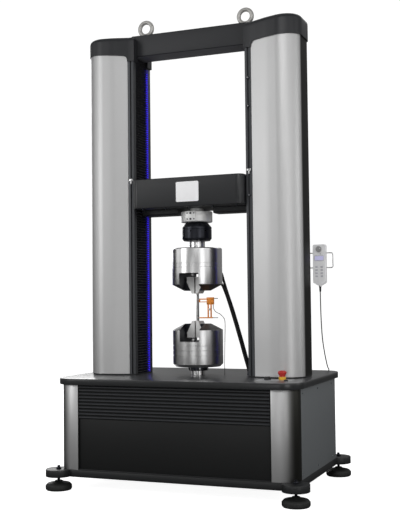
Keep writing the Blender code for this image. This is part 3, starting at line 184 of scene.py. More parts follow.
class Effects:
    """Shared shader groups. Each gives values only, and the material keeps its own shader."""

    @staticmethod
    @cache
    def grain() -> bpy.types.NodeTree:
        """Noise stretched along a vector, as a height and a change of roughness."""
        graph = new_group("Surface Grain", "ShaderNodeTree", {"Stretch": VECTOR, "Contrast": NUMBER},
                          {"Height": NUMBER, "Roughness Shift": NUMBER})
        given = graph.add("NodeGroupInput").outputs
        spot = graph.add("ShaderNodeTexCoord").outputs["Object"]
        scaled = graph.sum_of("MULTIPLY", spot, given["Stretch"], "ShaderNodeVectorMath")
        noise = graph.add("ShaderNodeTexNoise", {"Vector": scaled, "Scale": 1.0, "Detail": 3.0})
        centred = graph.sum_of("SUBTRACT", noise.outputs["Fac"], 0.5)
        shift = graph.sum_of("MULTIPLY", centred, given["Contrast"])
        graph.add("NodeGroupOutput", {"Height": noise.outputs["Fac"], "Roughness Shift": shift})
        return graph.tree

    @staticmethod
    @cache
    def mottle() -> bpy.types.NodeTree:
        """Broad, faint patches of lighter and darker colour."""
        graph = new_group("Colour Mottle", "ShaderNodeTree",
                          {"Color": COLOUR, "Amount": NUMBER, "Scale": NUMBER}, {"Color": COLOUR})
        given = graph.add("NodeGroupInput").outputs
        spot = graph.add("ShaderNodeTexCoord").outputs["Object"]
        noise = graph.add("ShaderNodeTexNoise", {
            "Vector": spot, "Scale": given["Scale"], "Detail": 2.0,
        })
        centred = graph.sum_of("SUBTRACT", noise.outputs["Fac"], 0.5)
        swing = graph.sum_of("MULTIPLY", centred, given["Amount"])
        gain = graph.sum_of("ADD", swing, 1.0)
        tinted = graph.add("ShaderNodeVectorMath", {0: given["Color"], "Scale": gain},
                           operation="SCALE").outputs[0]
        graph.add("NodeGroupOutput", {"Color": tinted})
        return graph.tree

    @staticmethod
    @cache
    def fade() -> bpy.types.NodeTree:
        """A share that goes from 0 to 1 between two distances along a direction."""
        graph = new_group("Place Fade", "ShaderNodeTree", {"Low": NUMBER, "High": NUMBER, "Along": VECTOR},
                          {"Share": NUMBER})
        given = graph.add("NodeGroupInput").outputs
        spot = graph.add("ShaderNodeTexCoord").outputs["Object"]
        both = graph.add("ShaderNodeVectorMath", {0: spot}, operation="ABSOLUTE").outputs[0]
        reach = graph.add("ShaderNodeVectorMath", {0: both, 1: given["Along"]},
                          operation="DOT_PRODUCT").outputs["Value"]
        ramp = graph.add("ShaderNodeMapRange", {
            "Value": reach, "From Min": given["Low"], "From Max": given["High"],
        }, interpolation_type="SMOOTHSTEP")
        graph.add("NodeGroupOutput", {"Share": ramp.outputs["Result"]})
        return graph.tree


COAT_ROUGHNESS = 0.08
BUMP_HEIGHT = 0.0004
MOTTLE_SCALE = 14.0
STRETCHES: dict[Grain, Point] = {
    Grain.POWDER: (900.0, 900.0, 900.0),
    Grain.BRUSHED: (700.0, 700.0, 9.0),
    Grain.TURNED: (12.0, 12.0, 1500.0),
    Grain.MOULDED: (350.0, 350.0, 350.0),
}


@dataclass(frozen=True)
class Fade:
    """A second colour on one part of a piece, the same on the machine's left and right.

    Attributes:
        other: The second colour.
        low: Where it is alone, measured from the origin.
        high: Where it has gone.
        along: The direction of that measure.
    """

    other: Colour
    low: float
    high: float
    along: Point = (0.0, 0.0, 1.0)


@dataclass(frozen=True)
class Finish:
    """One procedural finish.

    Attributes:
        name: The material's name.
        slot: The record's material slot that it stands for; not used.
        colour: Base colour, linear.
        roughness: Mean roughness.
        metallic: 1.0 for bare metal.
        coat: Weight of the clear coat.
        grain: Its fine texture.
        depth: Bump strength of that texture.
        contrast: How much the texture changes the roughness.
        mottle: Strength of broad colour patches.
        glow: Emission strength in the base colour.
        fade: A second colour on a part of it, if any.
    """

    name: str
    slot: str
    colour: Colour
    roughness: float
    metallic: float = 0.0
    coat: float = 0.0
    grain: Grain = Grain.POWDER
    depth: float = 0.05
    contrast: float = 0.08
    mottle: float = 0.08
    glow: float = 0.0
    fade: Fade | None = None

    def material(self) -> bpy.types.Material:
        """Returns the material, which is built once."""
        known = bpy.data.materials.get(self.name)
        if known:
            return known
        material = bpy.data.materials.new(self.name)
        material.use_nodes = True
        graph = Graph(material.node_tree)
        shader = material.node_tree.nodes["Principled BSDF"]
        shader.inputs["Metallic"].default_value = self.metallic
        shader.inputs["Coat Weight"].default_value = self.coat
        shader.inputs["Coat Roughness"].default_value = COAT_ROUGHNESS
        grain = graph.add("ShaderNodeGroup", {"Stretch": STRETCHES[self.grain], "Contrast": self.contrast},
                          node_tree=Effects.grain())
        rough = graph.sum_of("ADD", grain.outputs["Roughness Shift"], self.roughness)
        bump = graph.add("ShaderNodeBump", {
            "Height": grain.outputs["Height"], "Strength": self.depth, "Distance": BUMP_HEIGHT,
        })
        tint = graph.add("ShaderNodeGroup", {
            "Color": (*self.colour, 1.0), "Amount": self.mottle, "Scale": MOTTLE_SCALE,
        }, node_tree=Effects.mottle())
        graph.tree.links.new(self._faded(graph, tint.outputs["Color"]), shader.inputs["Base Color"])
        graph.tree.links.new(rough, shader.inputs["Roughness"])
        graph.tree.links.new(bump.outputs["Normal"], shader.inputs["Normal"])
        if self.glow:
            shader.inputs["Emission Color"].default_value = (*self.colour, 1.0)
            shader.inputs["Emission Strength"].default_value = self.glow
        return material

    def _faded(self, graph: Graph, colour: bpy.types.NodeSocket) -> bpy.types.NodeSocket:
        """Mixes the second colour in, where there is one."""
        if self.fade is None:
            return colour
        share = graph.add("ShaderNodeGroup", {
            "Low": self.fade.low, "High": self.fade.high, "Along": self.fade.along,
        }, node_tree=Effects.fade())
        mix = graph.add("ShaderNodeMix", {
            "Factor": share.outputs["Share"], 6: (*self.fade.other, 1.0), 7: colour,
        }, data_type="RGBA")
        return mix.outputs[2]


def grey(level: float) -> Colour:
    """A colour without a hue."""
    return (level, level, level)


class Finishes:
    """Every finish on the machine."""

    CAST_BLACK = Finish("cast_black", "black_paint", (0.016, 0.017, 0.020), 0.42, coat=0.05)
    # A lighter black for the top beam's underside: painted light
    CAST_PAINTED_LIGHT = Finish("cast_lit", "black_paint", (0.095, 0.096, 0.105), 0.55)
    CROSSHEAD_BLACK = Finish("crosshead_black", "black_paint", (0.014, 0.015, 0.017), 0.38, coat=0.05)
    PANEL_BLACK = Finish("panel_black", "black_paint", (0.0045, 0.0050, 0.0052), 0.50)
    # A lighter black than the panel's own: painted light on the front ridges
    RIDGE_PAINTED_LIGHT = Finish("ridge_black", "black_paint", (0.030, 0.032, 0.035), 0.45)
    # Near-black painted shade, put where there is only shade: behind the front ridges, at the front
    # panel's ends and on the specimen between the jaws
    PAINTED_SHADE_BLACK = Finish("gap_black", "black_paint", grey(0.0008), 0.90)
    FRAME_BLACK = Finish("frame_black", "black_paint", (0.012, 0.013, 0.014), 0.45)
    # Strong colour patches stand in for streaky reflections as painted reflection, and the rim below the
    # top face is darker as painted shade
    TABLE_BLACK = Finish("table_black", "tabletop_black", (0.085, 0.086, 0.090), 0.30, coat=0.1,
                         depth=0.02, contrast=0.04, mottle=1.1,
                         fade=Fade((0.020, 0.021, 0.022), 0.4925, 0.4947))
    SILVER = Finish("silver", "satin_aluminium", grey(0.64), 0.47, metallic=0.85,
                    grain=Grain.BRUSHED, depth=0.03, mottle=0.03,
                    fade=Fade((0.012, 0.012, 0.010), 0.5199, 0.5168, (1.0, 0.0, 0.0)))
    # Darker towards each post's outer side: painted shade for the dark that the rounded corner reflects
    POST_SILVER = Finish("post_silver", "satin_aluminium", grey(0.66), 0.45, metallic=0.85,
                         grain=Grain.BRUSHED, depth=0.03, mottle=0.03,
                         fade=Fade((0.030, 0.030, 0.026), 0.543, 0.484, (1.0, 0.0, 0.0)))
    # Darker towards the bottom of the side panels: painted shade
    SIDE_GREY = Finish("side_grey", "side_grey", (0.90, 0.93, 0.96), 0.42,
                       fade=Fade(grey(0.10), 0.07, 0.36))
    EXTRUSION = Finish("extrusion", "dark_extrusion", (0.075, 0.078, 0.084), 0.42, metallic=0.6,
                       grain=Grain.BRUSHED)
    BELLOWS = Finish("bellows", "bellows_rubber", (0.016, 0.016, 0.019), 0.55, grain=Grain.MOULDED)
    LED_BASE = Finish("led_base", "blue_light", (0.012, 0.006, 0.26), 0.45, glow=0.30)
    LED_DOT = Finish("led_dot", "blue_light", (0.030, 0.012, 0.80), 0.40, glow=1.1)
    STEEL_TURNED = Finish("steel_turned", "turned_steel", grey(0.84), 0.29, metallic=1.0,
                          grain=Grain.TURNED, depth=0.012, contrast=0.04, mottle=0.03)
    # A darker copy of the upper grip's steel for the lower grip: painted shade
    STEEL_LOWER = Finish("steel_lower", "turned_steel", grey(0.64), 0.31, metallic=1.0,
                         grain=Grain.TURNED, depth=0.012, contrast=0.04, mottle=0.03)
    STEEL_SHADED = Finish("steel_shaded", "turned_steel", grey(0.10), 0.50, metallic=0.9,
                          grain=Grain.TURNED, depth=0.05)
    STEEL_SATIN = Finish("steel_satin", "bright_steel", (0.52, 0.51, 0.49), 0.42, metallic=0.6,
                         grain=Grain.MOULDED, depth=0.05)
    STEEL_PALE = Finish("steel_pale", "bright_steel", (0.84, 0.84, 0.83), 0.42, metallic=0.35,
                        grain=Grain.MOULDED, depth=0.02, contrast=0.04, mottle=0.04)
    STEEL_BRIGHT = Finish("steel_bright", "bright_steel", grey(0.66), 0.28, metallic=1.0,
                          grain=Grain.MOULDED, depth=0.015, contrast=0.04, mottle=0.05)
    STEEL_DARK = Finish("steel_dark", "black_oxide", (0.030, 0.032, 0.040), 0.30, metallic=0.8,
                        grain=Grain.TURNED, depth=0.05)
    PAD_RUBBER = Finish("pad_rubber", "foot_rubber", (0.013, 0.014, 0.013), 0.55, grain=Grain.MOULDED,
                        depth=0.15)
    HOSE = Finish("hose", "hose_rubber", (0.0025, 0.0025, 0.003), 0.70, grain=Grain.MOULDED)
    CABLE = Finish("cable", "cable_grey", grey(0.06), 0.50, grain=Grain.MOULDED)
    ORANGE = Finish("orange", "sensor_orange", (0.92, 0.30, 0.03), 0.36, metallic=0.1)
    RED = Finish("red", "stop_red", (0.60, 0.028, 0.022), 0.28, coat=0.6, grain=Grain.MOULDED)
    YELLOW = Finish("yellow", "stop_yellow", (0.88, 0.50, 0.03), 0.35, coat=0.3, grain=Grain.MOULDED)
    CONTROL_GREY = Finish("control_grey", "handset_grey", (0.40, 0.41, 0.42), 0.38, metallic=0.3)
    # Its glow brightens the handset, the knob's mark and the jog wheel's dimple: painted light
    HANDSET = Finish("handset", "handset_grey", (0.80, 0.80, 0.81), 0.36, grain=Grain.MOULDED, coat=0.1,
                     glow=0.10)
    KEY = Finish("key", "handset_grey", (0.62, 0.62, 0.66), 0.42, grain=Grain.MOULDED)
    KEY_DARK = Finish("key_dark", "handset_grey", grey(0.36), 0.42, grain=Grain.MOULDED)
    SCREEN = Finish("screen", "handset_grey", (0.56, 0.55, 0.80), 0.20, coat=0.4, glow=0.30)
    # Its glow brightens the crosshead's plate: painted light
    PLATE_WHITE = Finish("plate_white", "handset_grey", (0.92, 0.92, 0.93), 0.45, glow=0.12)
    PLASTIC_BLACK = Finish("plastic_black", "black_paint", (0.012, 0.012, 0.013), 0.40,
                           grain=Grain.MOULDED)


# Mesh building


def fillet(corners: Sequence[Corner], steps: int = 8) -> list[Vector]:
    """Rounds an outline's corners.

    Args:
        corners: (x, y, radius) for each corner in order.
        steps: Segments in each arc.

    Returns:
        The rounded outline.
    """
    outline = []
    for index, (x, y, radius) in enumerate(corners):
        here = Vector((x, y))
        if radius == 0:
            outline.append(here)
            continue
        before = (Vector(corners[index - 1][:2]) - here).normalized()
        after = (Vector(corners[(index + 1) % len(corners)][:2]) - here).normalized()
        half = before.angle(after) / 2
        centre = here + (before + after).normalized() * radius / math.sin(half)
        start = here + before * radius / math.tan(half) - centre
        end = here + after * radius / math.tan(half) - centre
        sweep = start.angle_signed(end)
        turns = [Matrix.Rotation(-sweep * step / steps, 2) for step in range(steps + 1)]
        outline += [centre + turn @ start for turn in turns]
    return outline


def rectangle(low: Sequence[float], high: Sequence[float], radius: float, steps: int = 6) -> list[Vector]:
    """A rectangle's outline with rounded corners."""
    (x0, y0), (x1, y1) = low, high
    corners = [(x0, y0, radius), (x1, y0, radius), (x1, y1, radius), (x0, y1, radius)]
    return fillet(corners, steps)


def grown(outline: Sequence[Vector], distance: float) -> list[Vector]:
    """Moves every side of a closed, counterclockwise outline outwards."""
    moved = []
    for index, here in enumerate(outline):
        before = (here - outline[index - 1]).normalized()
        after = (outline[(index + 1) % len(outline)] - here).normalized()
        outward = Vector((before.y + after.y, -before.x - after.x)).normalized()
        moved.append(here + outward * distance / (outward.x * before.y - outward.y * before.x))
    return moved


def mirrored(outline: Iterable[Sequence[float]], side: int) -> list[Vector]:
    """Flips an outline to the machine's left, or keeps it on the right."""
    return [Vector((side * point[0], point[1])) for point in outline]


def prism(outline: Iterable[Sequence[float]], low: float, high: float, axis: str = "Z") -> Solid:
    """Extrudes an outline along one axis.

    Args:
        outline: Points in the plane across the axis, in X, Y, Z order.
        low: Where the solid starts along the axis.
        high: Where it ends.
        axis: "X", "Y" or "Z".

    Returns:
        The closed solid.
    """
    spots = {"X": lambda a, b: (low, a, b), "Y": lambda a, b: (a, low, b), "Z": lambda a, b: (a, b, low)}
    step = {"X": (high - low, 0, 0), "Y": (0, high - low, 0), "Z": (0, 0, high - low)}
    bm = bmesh.new()
    face = bm.faces.new([bm.verts.new(spots[axis](*point)) for point in outline])
    made = bmesh.ops.extrude_face_region(bm, geom=[face])
    moved = [item for item in made["geom"] if isinstance(item, bmesh.types.BMVert)]
    bmesh.ops.translate(bm, verts=moved, vec=step[axis])
    bmesh.ops.recalc_face_normals(bm, faces=bm.faces)
    return bm


def box(low: Point, high: Point, edge: float = 0.0) -> Solid:
    """A box between two corners with rounded edges."""
    size = Vector(high) - Vector(low)
    middle = (Vector(high) + Vector(low)) / 2
    bm = bmesh.new()
    bmesh.ops.create_cube(bm, size=1, matrix=Matrix.Translation(middle) @ Matrix.Diagonal((*size, 1)))
    return eased(bm, edge)


def eased(bm: Solid, width: float, steps: int = 2, angle: float = 35) -> Solid:
    """Rounds the edges that turn by more than an angle, in degrees."""
    if width <= 0:
        return bm
    bmesh.ops.recalc_face_normals(bm, faces=bm.faces)
    limit = math.radians(angle)
    sharp = [edge for edge in bm.edges if len(edge.link_faces) == 2 and edge.calc_face_angle() > limit]
    bmesh.ops.bevel(bm, geom=sharp, offset=width, segments=steps, profile=0.5, affect="EDGES",
                    clamp_overlap=True)
    return bm


def lathe(profile: Sequence[Sequence[float]], centre: Sequence[float] = (0.0, AXIS_Y),
          sides: int = 64) -> Solid:
    """Turns a profile about a vertical line.

    Args:
        profile: (radius, height) from the top down the outer side, ends on the axis.
        centre: The line's X and Y.
        sides: Segments round the axis.

    Returns:
        The closed solid of revolution.
    """
    bm = bmesh.new()
    verts = [bm.verts.new((centre[0] + radius, centre[1], height)) for radius, height in profile]
    edges = [bm.edges.new(pair) for pair in zip(verts, verts[1:])]
    bmesh.ops.spin(bm, geom=verts + edges, cent=(*centre, 0), axis=(0, 0, 1), angle=2 * math.pi,
                   steps=sides, use_merge=True)
    bmesh.ops.remove_doubles(bm, verts=bm.verts, dist=SAME_SPOT)
    bmesh.ops.recalc_face_normals(bm, faces=bm.faces)
    return bm


def rounded_profile(corners: Sequence[Corner], steps: int = 3, crown: float = 0.0) -> list[Vector]:
    """A lathe profile that starts and ends on the axis.

    Args:
        corners: (radius, height, rounding) from the top down the outer side.
        steps: Segments in each arc.
        crown: How much higher the middle of the top is than the first corner.

    Returns:
        The profile's points.
    """
    return fillet([(0, corners[0][1] + crown, 0), *corners, (0, corners[-1][1], 0)], steps)


def laid(bm: Solid, axis: str, at: Point) -> Solid:
    """Turns an upright solid made at the origin so that its top points along an axis, then moves it."""
    turns = {
        "X": Matrix.Rotation(math.radians(90), 4, "Y"), "-X": Matrix.Rotation(math.radians(-90), 4, "Y"),
        "Y": Matrix.Rotation(math.radians(-90), 4, "X"), "-Y": Matrix.Rotation(math.radians(90), 4, "X"),
        "Z": Matrix(), "-Z": Matrix.Rotation(math.radians(180), 4, "X"),
    }
    bmesh.ops.transform(bm, matrix=Matrix.Translation(at) @ turns[axis], verts=bm.verts)
    return bm


def disc(radius: float, low: float, high: float, centre: Sequence[float] = (0.0, 0.0),
         sides: int = 32) -> Solid:
    """A plain round bar or plate that stands upright."""
    return lathe([(0, high), (radius, high), (radius, low), (0, low)], centre, sides)


def turned(corners: Sequence[Corner], axis: str, at: Point, sides: int = 32, steps: int = 3,
           crown: float = 0.0) -> Solid:
    """A turned part with rounded corners whose top points along an axis."""
    return laid(lathe(rounded_profile(corners, steps, crown), (0, 0), sides), axis, at)


def seed() -> Solid:
    """A tiny solid that a rule replaces by the piece it makes."""
    return box((0, 0, 0), (0.001, 0.001, 0.001))


def torus(radius: float, wire: float, axis: str, at: Point, steps: int = 64) -> Solid:
    """A closed ring of round wire."""
    bm = bmesh.new()
    turn = Matrix.Translation((radius, 0, 0)) @ Matrix.Rotation(math.radians(90), 4, "X")
    made = bmesh.ops.create_circle(bm, segments=24, radius=wire, matrix=turn)
    edges = list({edge for vert in made["verts"] for edge in vert.link_edges})
    bmesh.ops.spin(bm, geom=made["verts"] + edges, axis=(0, 0, 1), cent=(0, 0, 0), steps=steps,
                   angle=2 * math.pi, use_merge=True)
    bmesh.ops.remove_doubles(bm, verts=bm.verts, dist=SAME_SPOT)
    return laid(bm, axis, at)


def tube(route: Sequence[Vector], radius: float) -> Solid:
    """A round tube along a route, with closed ends."""
    curve = bpy.data.curves.new("route", "CURVE")
    curve.dimensions = "3D"
    curve.bevel_depth = radius
    curve.bevel_resolution = 4
    curve.use_fill_caps = True
    spline = curve.splines.new("POLY")
    spline.points.add(len(route) - 1)
    for point, spot in zip(spline.points, route):
        point.co = (*spot, 1.0)
    obj = bpy.data.objects.new("route", curve)
    bm = bmesh.new()
    bm.from_mesh(bpy.data.meshes.new_from_object(obj))
    bmesh.ops.remove_doubles(bm, verts=bm.verts, dist=SAME_SPOT)
    bmesh.ops.recalc_face_normals(bm, faces=bm.faces)
    bpy.data.objects.remove(obj)
    return bm


def smooth_route(points: Sequence[Point], spacing: float) -> list[Vector]:
    """Reads points at an even spacing from a smooth curve through a route's own points.

    Args:
        points: The route's points in order.
        spacing: The distance between the points that come back.

    Returns:
        The smooth route, from the first point to the last.
    """
    knots = [Vector(point) for point in points]
    ends = [2 * knots[0] - knots[1], *knots, 2 * knots[-1] - knots[-2]]
    dense = []
    for a, b, c, d in zip(ends, ends[1:], ends[2:], ends[3:]):
        for step in range(40):
            t = step / 40
            dense.append(0.5 * (2 * b + (c - a) * t + (2 * a - 5 * b + 4 * c - d) * t * t
                                + (3 * b - a - 3 * c + d) * t ** 3))
    dense.append(knots[-1])
    route = [dense[0]]
    for spot in dense:
        if (spot - route[-1]).length >= spacing:
            route.append(spot)
    if (dense[-1] - route[-1]).length < spacing / 2:
        route.pop()
    route.append(dense[-1])
    return route


def meshed(name: str, bm: Solid) -> bpy.types.Mesh:
    """Turns a solid into a mesh and frees the solid."""
    mesh = bpy.data.meshes.new(name)
    bm.to_mesh(mesh)
    bm.free()
    return mesh


def shown(name: str, data: bpy.types.ID) -> Piece:
    """Makes an object and puts it in the scene."""
    obj = bpy.data.objects.new(name, data)
    bpy.context.scene.collection.objects.link(obj)
    return obj


def shade(mesh: bpy.types.Mesh, limit: float = SMOOTH_BELOW) -> None:
    """Shades a mesh smooth, apart from edges that turn by more than a limit in degrees."""
    mesh.shade_smooth()
    mesh.set_sharp_from_angle(angle=math.radians(limit))


def joined(*solids: Solid) -> Solid:
    """Puts several solids in one mesh."""
    whole = bmesh.new()
    for solid in solids:
        mesh = meshed("part", solid)
        whole.from_mesh(mesh)
        bpy.data.meshes.remove(mesh)
    return whole


def carved(solid: Solid, *cutters: Solid,
           operation: str = "DIFFERENCE") -> Solid:
    """Cuts solids out of another, or joins them to it.

    Args:
        solid: The solid to work on.
        cutters: What is cut away or added.
        operation: "DIFFERENCE" or "UNION".

    Returns:
        The finished solid.
    """
    objects = []
    for index, bm in enumerate((solid, *cutters)):
        bmesh.ops.recalc_face_normals(bm, faces=bm.faces)
        objects.append(shown(f"tool_{index}", meshed(f"tool_{index}", bm)))
    for cutter in objects[1:]:
        modifier = objects[0].modifiers.new("Cut", "BOOLEAN")
        modifier.operation = operation
        modifier.solver = "EXACT"
        modifier.object = cutter
    graph = bpy.context.evaluated_depsgraph_get()
    result = bmesh.new()
    result.from_mesh(bpy.data.meshes.new_from_object(objects[0].evaluated_get(graph)))
    for obj in objects:
        bpy.data.objects.remove(obj)
    return result


def place(name: str, bm: Solid, finish: Finish, body: Body = Body.FRAME,
          stands_for: Sequence[str] = (), smooth: float = SMOOTH_BELOW,
          riding: bool = True) -> Piece:
    """Turns a solid into a finished piece.

    Args:
        name: The piece's name.
        bm: Its mesh, already where it belongs.
        finish: Its finish.
        body: The CAD body that carries it.
        stands_for: CAD nodes that it takes the place of.
        smooth: Edges under this angle, in degrees, are shaded smooth.
        riding: False where the piece is put on no body.

    Returns:
        The new object.
    """
    bmesh.ops.recalc_face_normals(bm, faces=bm.faces)
    mesh = meshed(name, bm)
    shade(mesh, smooth)
    mesh.materials.append(finish.material())
    obj = shown(name, mesh)
    if riding:
        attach(obj, body.value)
    if stands_for:
        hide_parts(*stands_for)
    return obj


# Geometry node rules for what repeats


class Rule:
    """A geometry node tree that is baked into a plain mesh."""

    def __init__(self, graph: Graph) -> None:
        self.tree = graph.tree

    def bake(self, obj: Piece, **values) -> Piece:
        """Runs the tree on an object and keeps its result as the object's mesh.

        Args:
            obj: A mesh object.
            values: The tree's inputs, with underscores for the spaces in their names.

        Returns:
            The same object.
        """
        modifier = obj.modifiers.new(self.tree.name, "NODES")
        modifier.node_group = self.tree
        for item in self.tree.interface.items_tree:
            key = item.name.lower().replace(" ", "_")
            if item.in_out == "INPUT" and key in values:
                modifier[item.identifier] = values[key]
        graph = bpy.context.evaluated_depsgraph_get()
        mesh = bpy.data.meshes.new_from_object(obj.evaluated_get(graph))
        obj.modifiers.clear()
        obj.data = mesh
        shade(mesh)
        return obj


def grid_rule() -> Rule:
    """Copies the incoming piece along two directions."""
    graph = new_group("Repeat In Rows", "GeometryNodeTree", {
        "Geometry": GEOMETRY, "Count": WHOLE, "Step": VECTOR, "Rows": WHOLE, "Row Step": VECTOR,
        "Finish": MATERIAL,
    }, {"Geometry": GEOMETRY})
    given = graph.add("NodeGroupInput").outputs
    lines = [
        graph.add("GeometryNodeMeshLine", {"Count": given[count], "Offset": given[step]},
                  mode="OFFSET").outputs["Mesh"]
        for count, step in (("Count", "Step"), ("Rows", "Row Step"))
    ]
    spread = graph.add("GeometryNodeInstanceOnPoints", {"Points": lines[0], "Instance": lines[1]})
    points = graph.add("GeometryNodeRealizeInstances", {"Geometry": spread.outputs["Instances"]})
    copies = graph.add("GeometryNodeInstanceOnPoints", {
        "Points": points.outputs["Geometry"], "Instance": given["Geometry"],
    })
    graph.hand_out(copies.outputs["Instances"], given["Finish"])
    return Rule(graph)


def ring_rule() -> Rule:
    """Copies the incoming piece round an axis."""
    graph = new_group("Repeat Round Axis", "GeometryNodeTree", {
        "Geometry": GEOMETRY, "Count": WHOLE, "Centre": VECTOR, "Axis": VECTOR, "Finish": MATERIAL,
    }, {"Geometry": GEOMETRY})
    given = graph.add("NodeGroupInput").outputs
    centre = given["Centre"]
    line = graph.add("GeometryNodeMeshLine", {
        "Count": given["Count"], "Start Location": centre, "Offset": (0.0, 0.0, 0.0),
    }, mode="OFFSET")
    index = graph.add("GeometryNodeInputIndex").outputs[0]
    turns = graph.sum_of("DIVIDE", index, given["Count"])
    angle = graph.sum_of("MULTIPLY", turns, 2 * math.pi)
    turn = graph.add("FunctionNodeAxisAngleToRotation", {"Axis": given["Axis"], "Angle": angle})
    back = graph.add("ShaderNodeVectorMath", {0: centre, "Scale": -1.0}, operation="SCALE")
    centred = graph.add("GeometryNodeTransform", {
        "Geometry": given["Geometry"], "Translation": back.outputs[0],
    })
    copies = graph.add("GeometryNodeInstanceOnPoints", {
        "Points": line.outputs["Mesh"], "Instance": centred.outputs["Geometry"],
        "Rotation": turn.outputs["Rotation"],
    })
    graph.hand_out(copies.outputs["Instances"], given["Finish"])
    return Rule(graph)


def thread_rule() -> Rule:
    """A threaded bar: a round bar whose radius rises and falls along a helix."""
    graph = new_group("Threaded Bar", "GeometryNodeTree", {
        "Geometry": GEOMETRY, "Radius": NUMBER, "Depth": NUMBER, "Pitch": NUMBER, "Length": NUMBER,
        "Centre": VECTOR, "Finish": MATERIAL,
    }, {"Geometry": GEOMETRY})
    given = graph.add("NodeGroupInput").outputs
    turns = graph.sum_of("DIVIDE", given["Length"], given["Pitch"])
    rows = graph.sum_of("MULTIPLY", turns, 8.0)
    bar = graph.add("GeometryNodeMeshCylinder", {
        "Vertices": 24, "Side Segments": rows, "Radius": given["Radius"],
        "Depth": given["Length"],
    })
    spot = graph.position()
    angle = graph.sum_of("ARCTAN2", spot["Y"], spot["X"])
    along = graph.sum_of("DIVIDE", spot["Z"], given["Pitch"])
    phase = graph.sum_of("SUBTRACT", graph.sum_of("MULTIPLY", along, 2 * math.pi), angle)
    wave = graph.sum_of("MULTIPLY", graph.sum_of("ADD", graph.sum_of("COSINE", phase), -1.0), 0.5)
    dip = graph.sum_of("MULTIPLY", wave, given["Depth"])
    gain = graph.sum_of("ADD", graph.sum_of("DIVIDE", dip, given["Radius"]), 1.0)
    moved = graph.add("ShaderNodeCombineXYZ", {
        0: graph.sum_of("MULTIPLY", spot["X"], gain),
        1: graph.sum_of("MULTIPLY", spot["Y"], gain),
        2: spot["Z"],
    })
    centred = graph.sum_of("ADD", moved.outputs[0], given["Centre"], "ShaderNodeVectorMath")
    shaped = graph.add("GeometryNodeSetPosition", {"Geometry": bar.outputs["Mesh"], "Position": centred})
    graph.hand_out(shaped.outputs["Geometry"], given["Finish"])
    return Rule(graph)


def pleat_rule() -> Rule:
    """A pleated skin that stands between two heights and folds in and out."""
    graph = new_group("Pleated Skin", "GeometryNodeTree", {
        "Geometry": GEOMETRY, "Folds": WHOLE, "Low": NUMBER, "High": NUMBER, "Front": NUMBER,
        "Rear": NUMBER, "Crest": NUMBER, "Root": NUMBER, "Finish": MATERIAL,
    }, {"Geometry": GEOMETRY})
    given = graph.add("NodeGroupInput").outputs
    rows = graph.sum_of("ADD", graph.sum_of("MULTIPLY", given["Folds"], 8.0), 1.0)
    sheet = graph.add("GeometryNodeMeshGrid", {
        "Size X": 1.0, "Size Y": 1.0, "Vertices X": rows, "Vertices Y": 2,
    })
    spot = graph.position()
    along = graph.sum_of("ADD", spot["X"], 0.5)
    across = graph.sum_of("ADD", spot["Y"], 0.5)
    turns = graph.sum_of("MULTIPLY", graph.sum_of("MULTIPLY", along, given["Folds"]), 2 * math.pi)
    wave = graph.sum_of("ADD", graph.sum_of("MULTIPLY", graph.sum_of("COSINE", turns), -0.5), 0.5)

    def between(share, first: str, second: str):
        """A value between two inputs by a share."""
        return graph.add("ShaderNodeMapRange", {
            "Value": share, "To Min": given[first], "To Max": given[second],
        }).outputs["Result"]

    moved = graph.add("ShaderNodeCombineXYZ", {
        0: between(wave, "Root", "Crest"), 1: between(across, "Front", "Rear"),
        2: between(along, "Low", "High"),
    })
    shaped = graph.add("GeometryNodeSetPosition", {
        "Geometry": sheet.outputs["Mesh"], "Position": moved.outputs[0],
    })
    graph.hand_out(shaped.outputs["Geometry"], given["Finish"])
    return Rule(graph)


class Rules:
    """The rules, each built once."""

    def __init__(self) -> None:
        self.grid = grid_rule()
        self.ring = ring_rule()
        self.thread = thread_rule()
        self.pleat = pleat_rule()


def socket_screw(radius: float, axis: str, at: Point) -> Solid:
    """A cap screw's head with its hexagon socket, seen from outside along an axis."""
    height = radius * 0.9
    head = lathe(rounded_profile([(radius, height, radius * 0.15), (radius, 0, 0)]), (0, 0), 20)
    socket = disc(radius * 0.5, height * 0.35, height * 1.2, sides=6)
    return laid(carved(head, socket), axis, at)


@dataclass
class Assembly:
    """What every sub-assembly needs to repeat its pieces."""

    rules: Rules

    # The CAD body that carries the pieces, unless one is named
    body = Body.FRAME

    def put(self, name: str, bm: Solid, finish: Finish, *stands_for: str, body: Body | None = None,
            **options) -> Piece:
        """Places a piece on its body, where it takes the place of the CAD nodes that are named."""
        return place(name, bm, finish, body or self.body, stands_for, **options)

    def rows(self, name: str, bm: Solid, finish: Finish, count: int, step: Point, rows: int = 1,
             row_step: Point = (0.0, 0.0, 0.0)) -> Piece:
        """Places a piece and repeats it in rows."""
        obj = self.put(name, bm, finish)
        return self.rules.grid.bake(obj, count=count, step=step, rows=rows, row_step=row_step,
                                    finish=finish.material())

    def round(self, name: str, bm: Solid, finish: Finish, count: int, centre: Point,
              axis: Point = (0.0, 0.0, 1.0), body: Body | None = None) -> Piece:
        """Places a piece and repeats it round an axis."""
        obj = self.put(name, bm, finish, body=body)
        return self.rules.ring.bake(obj, count=count, centre=centre, axis=axis, finish=finish.material())

    def thread(self, name: str, finish: Finish, radius: float, depth: float, pitch: float, low: float,
               high: float, centre: Sequence[float]) -> Piece:
        """Places a threaded bar between two heights."""
        obj = self.put(name, seed(), finish)
        return self.rules.thread.bake(obj, radius=radius, depth=depth, pitch=pitch, length=high - low,
                                      centre=(centre[0], centre[1], (low + high) / 2),
                                      finish=finish.material())


# Cabinet


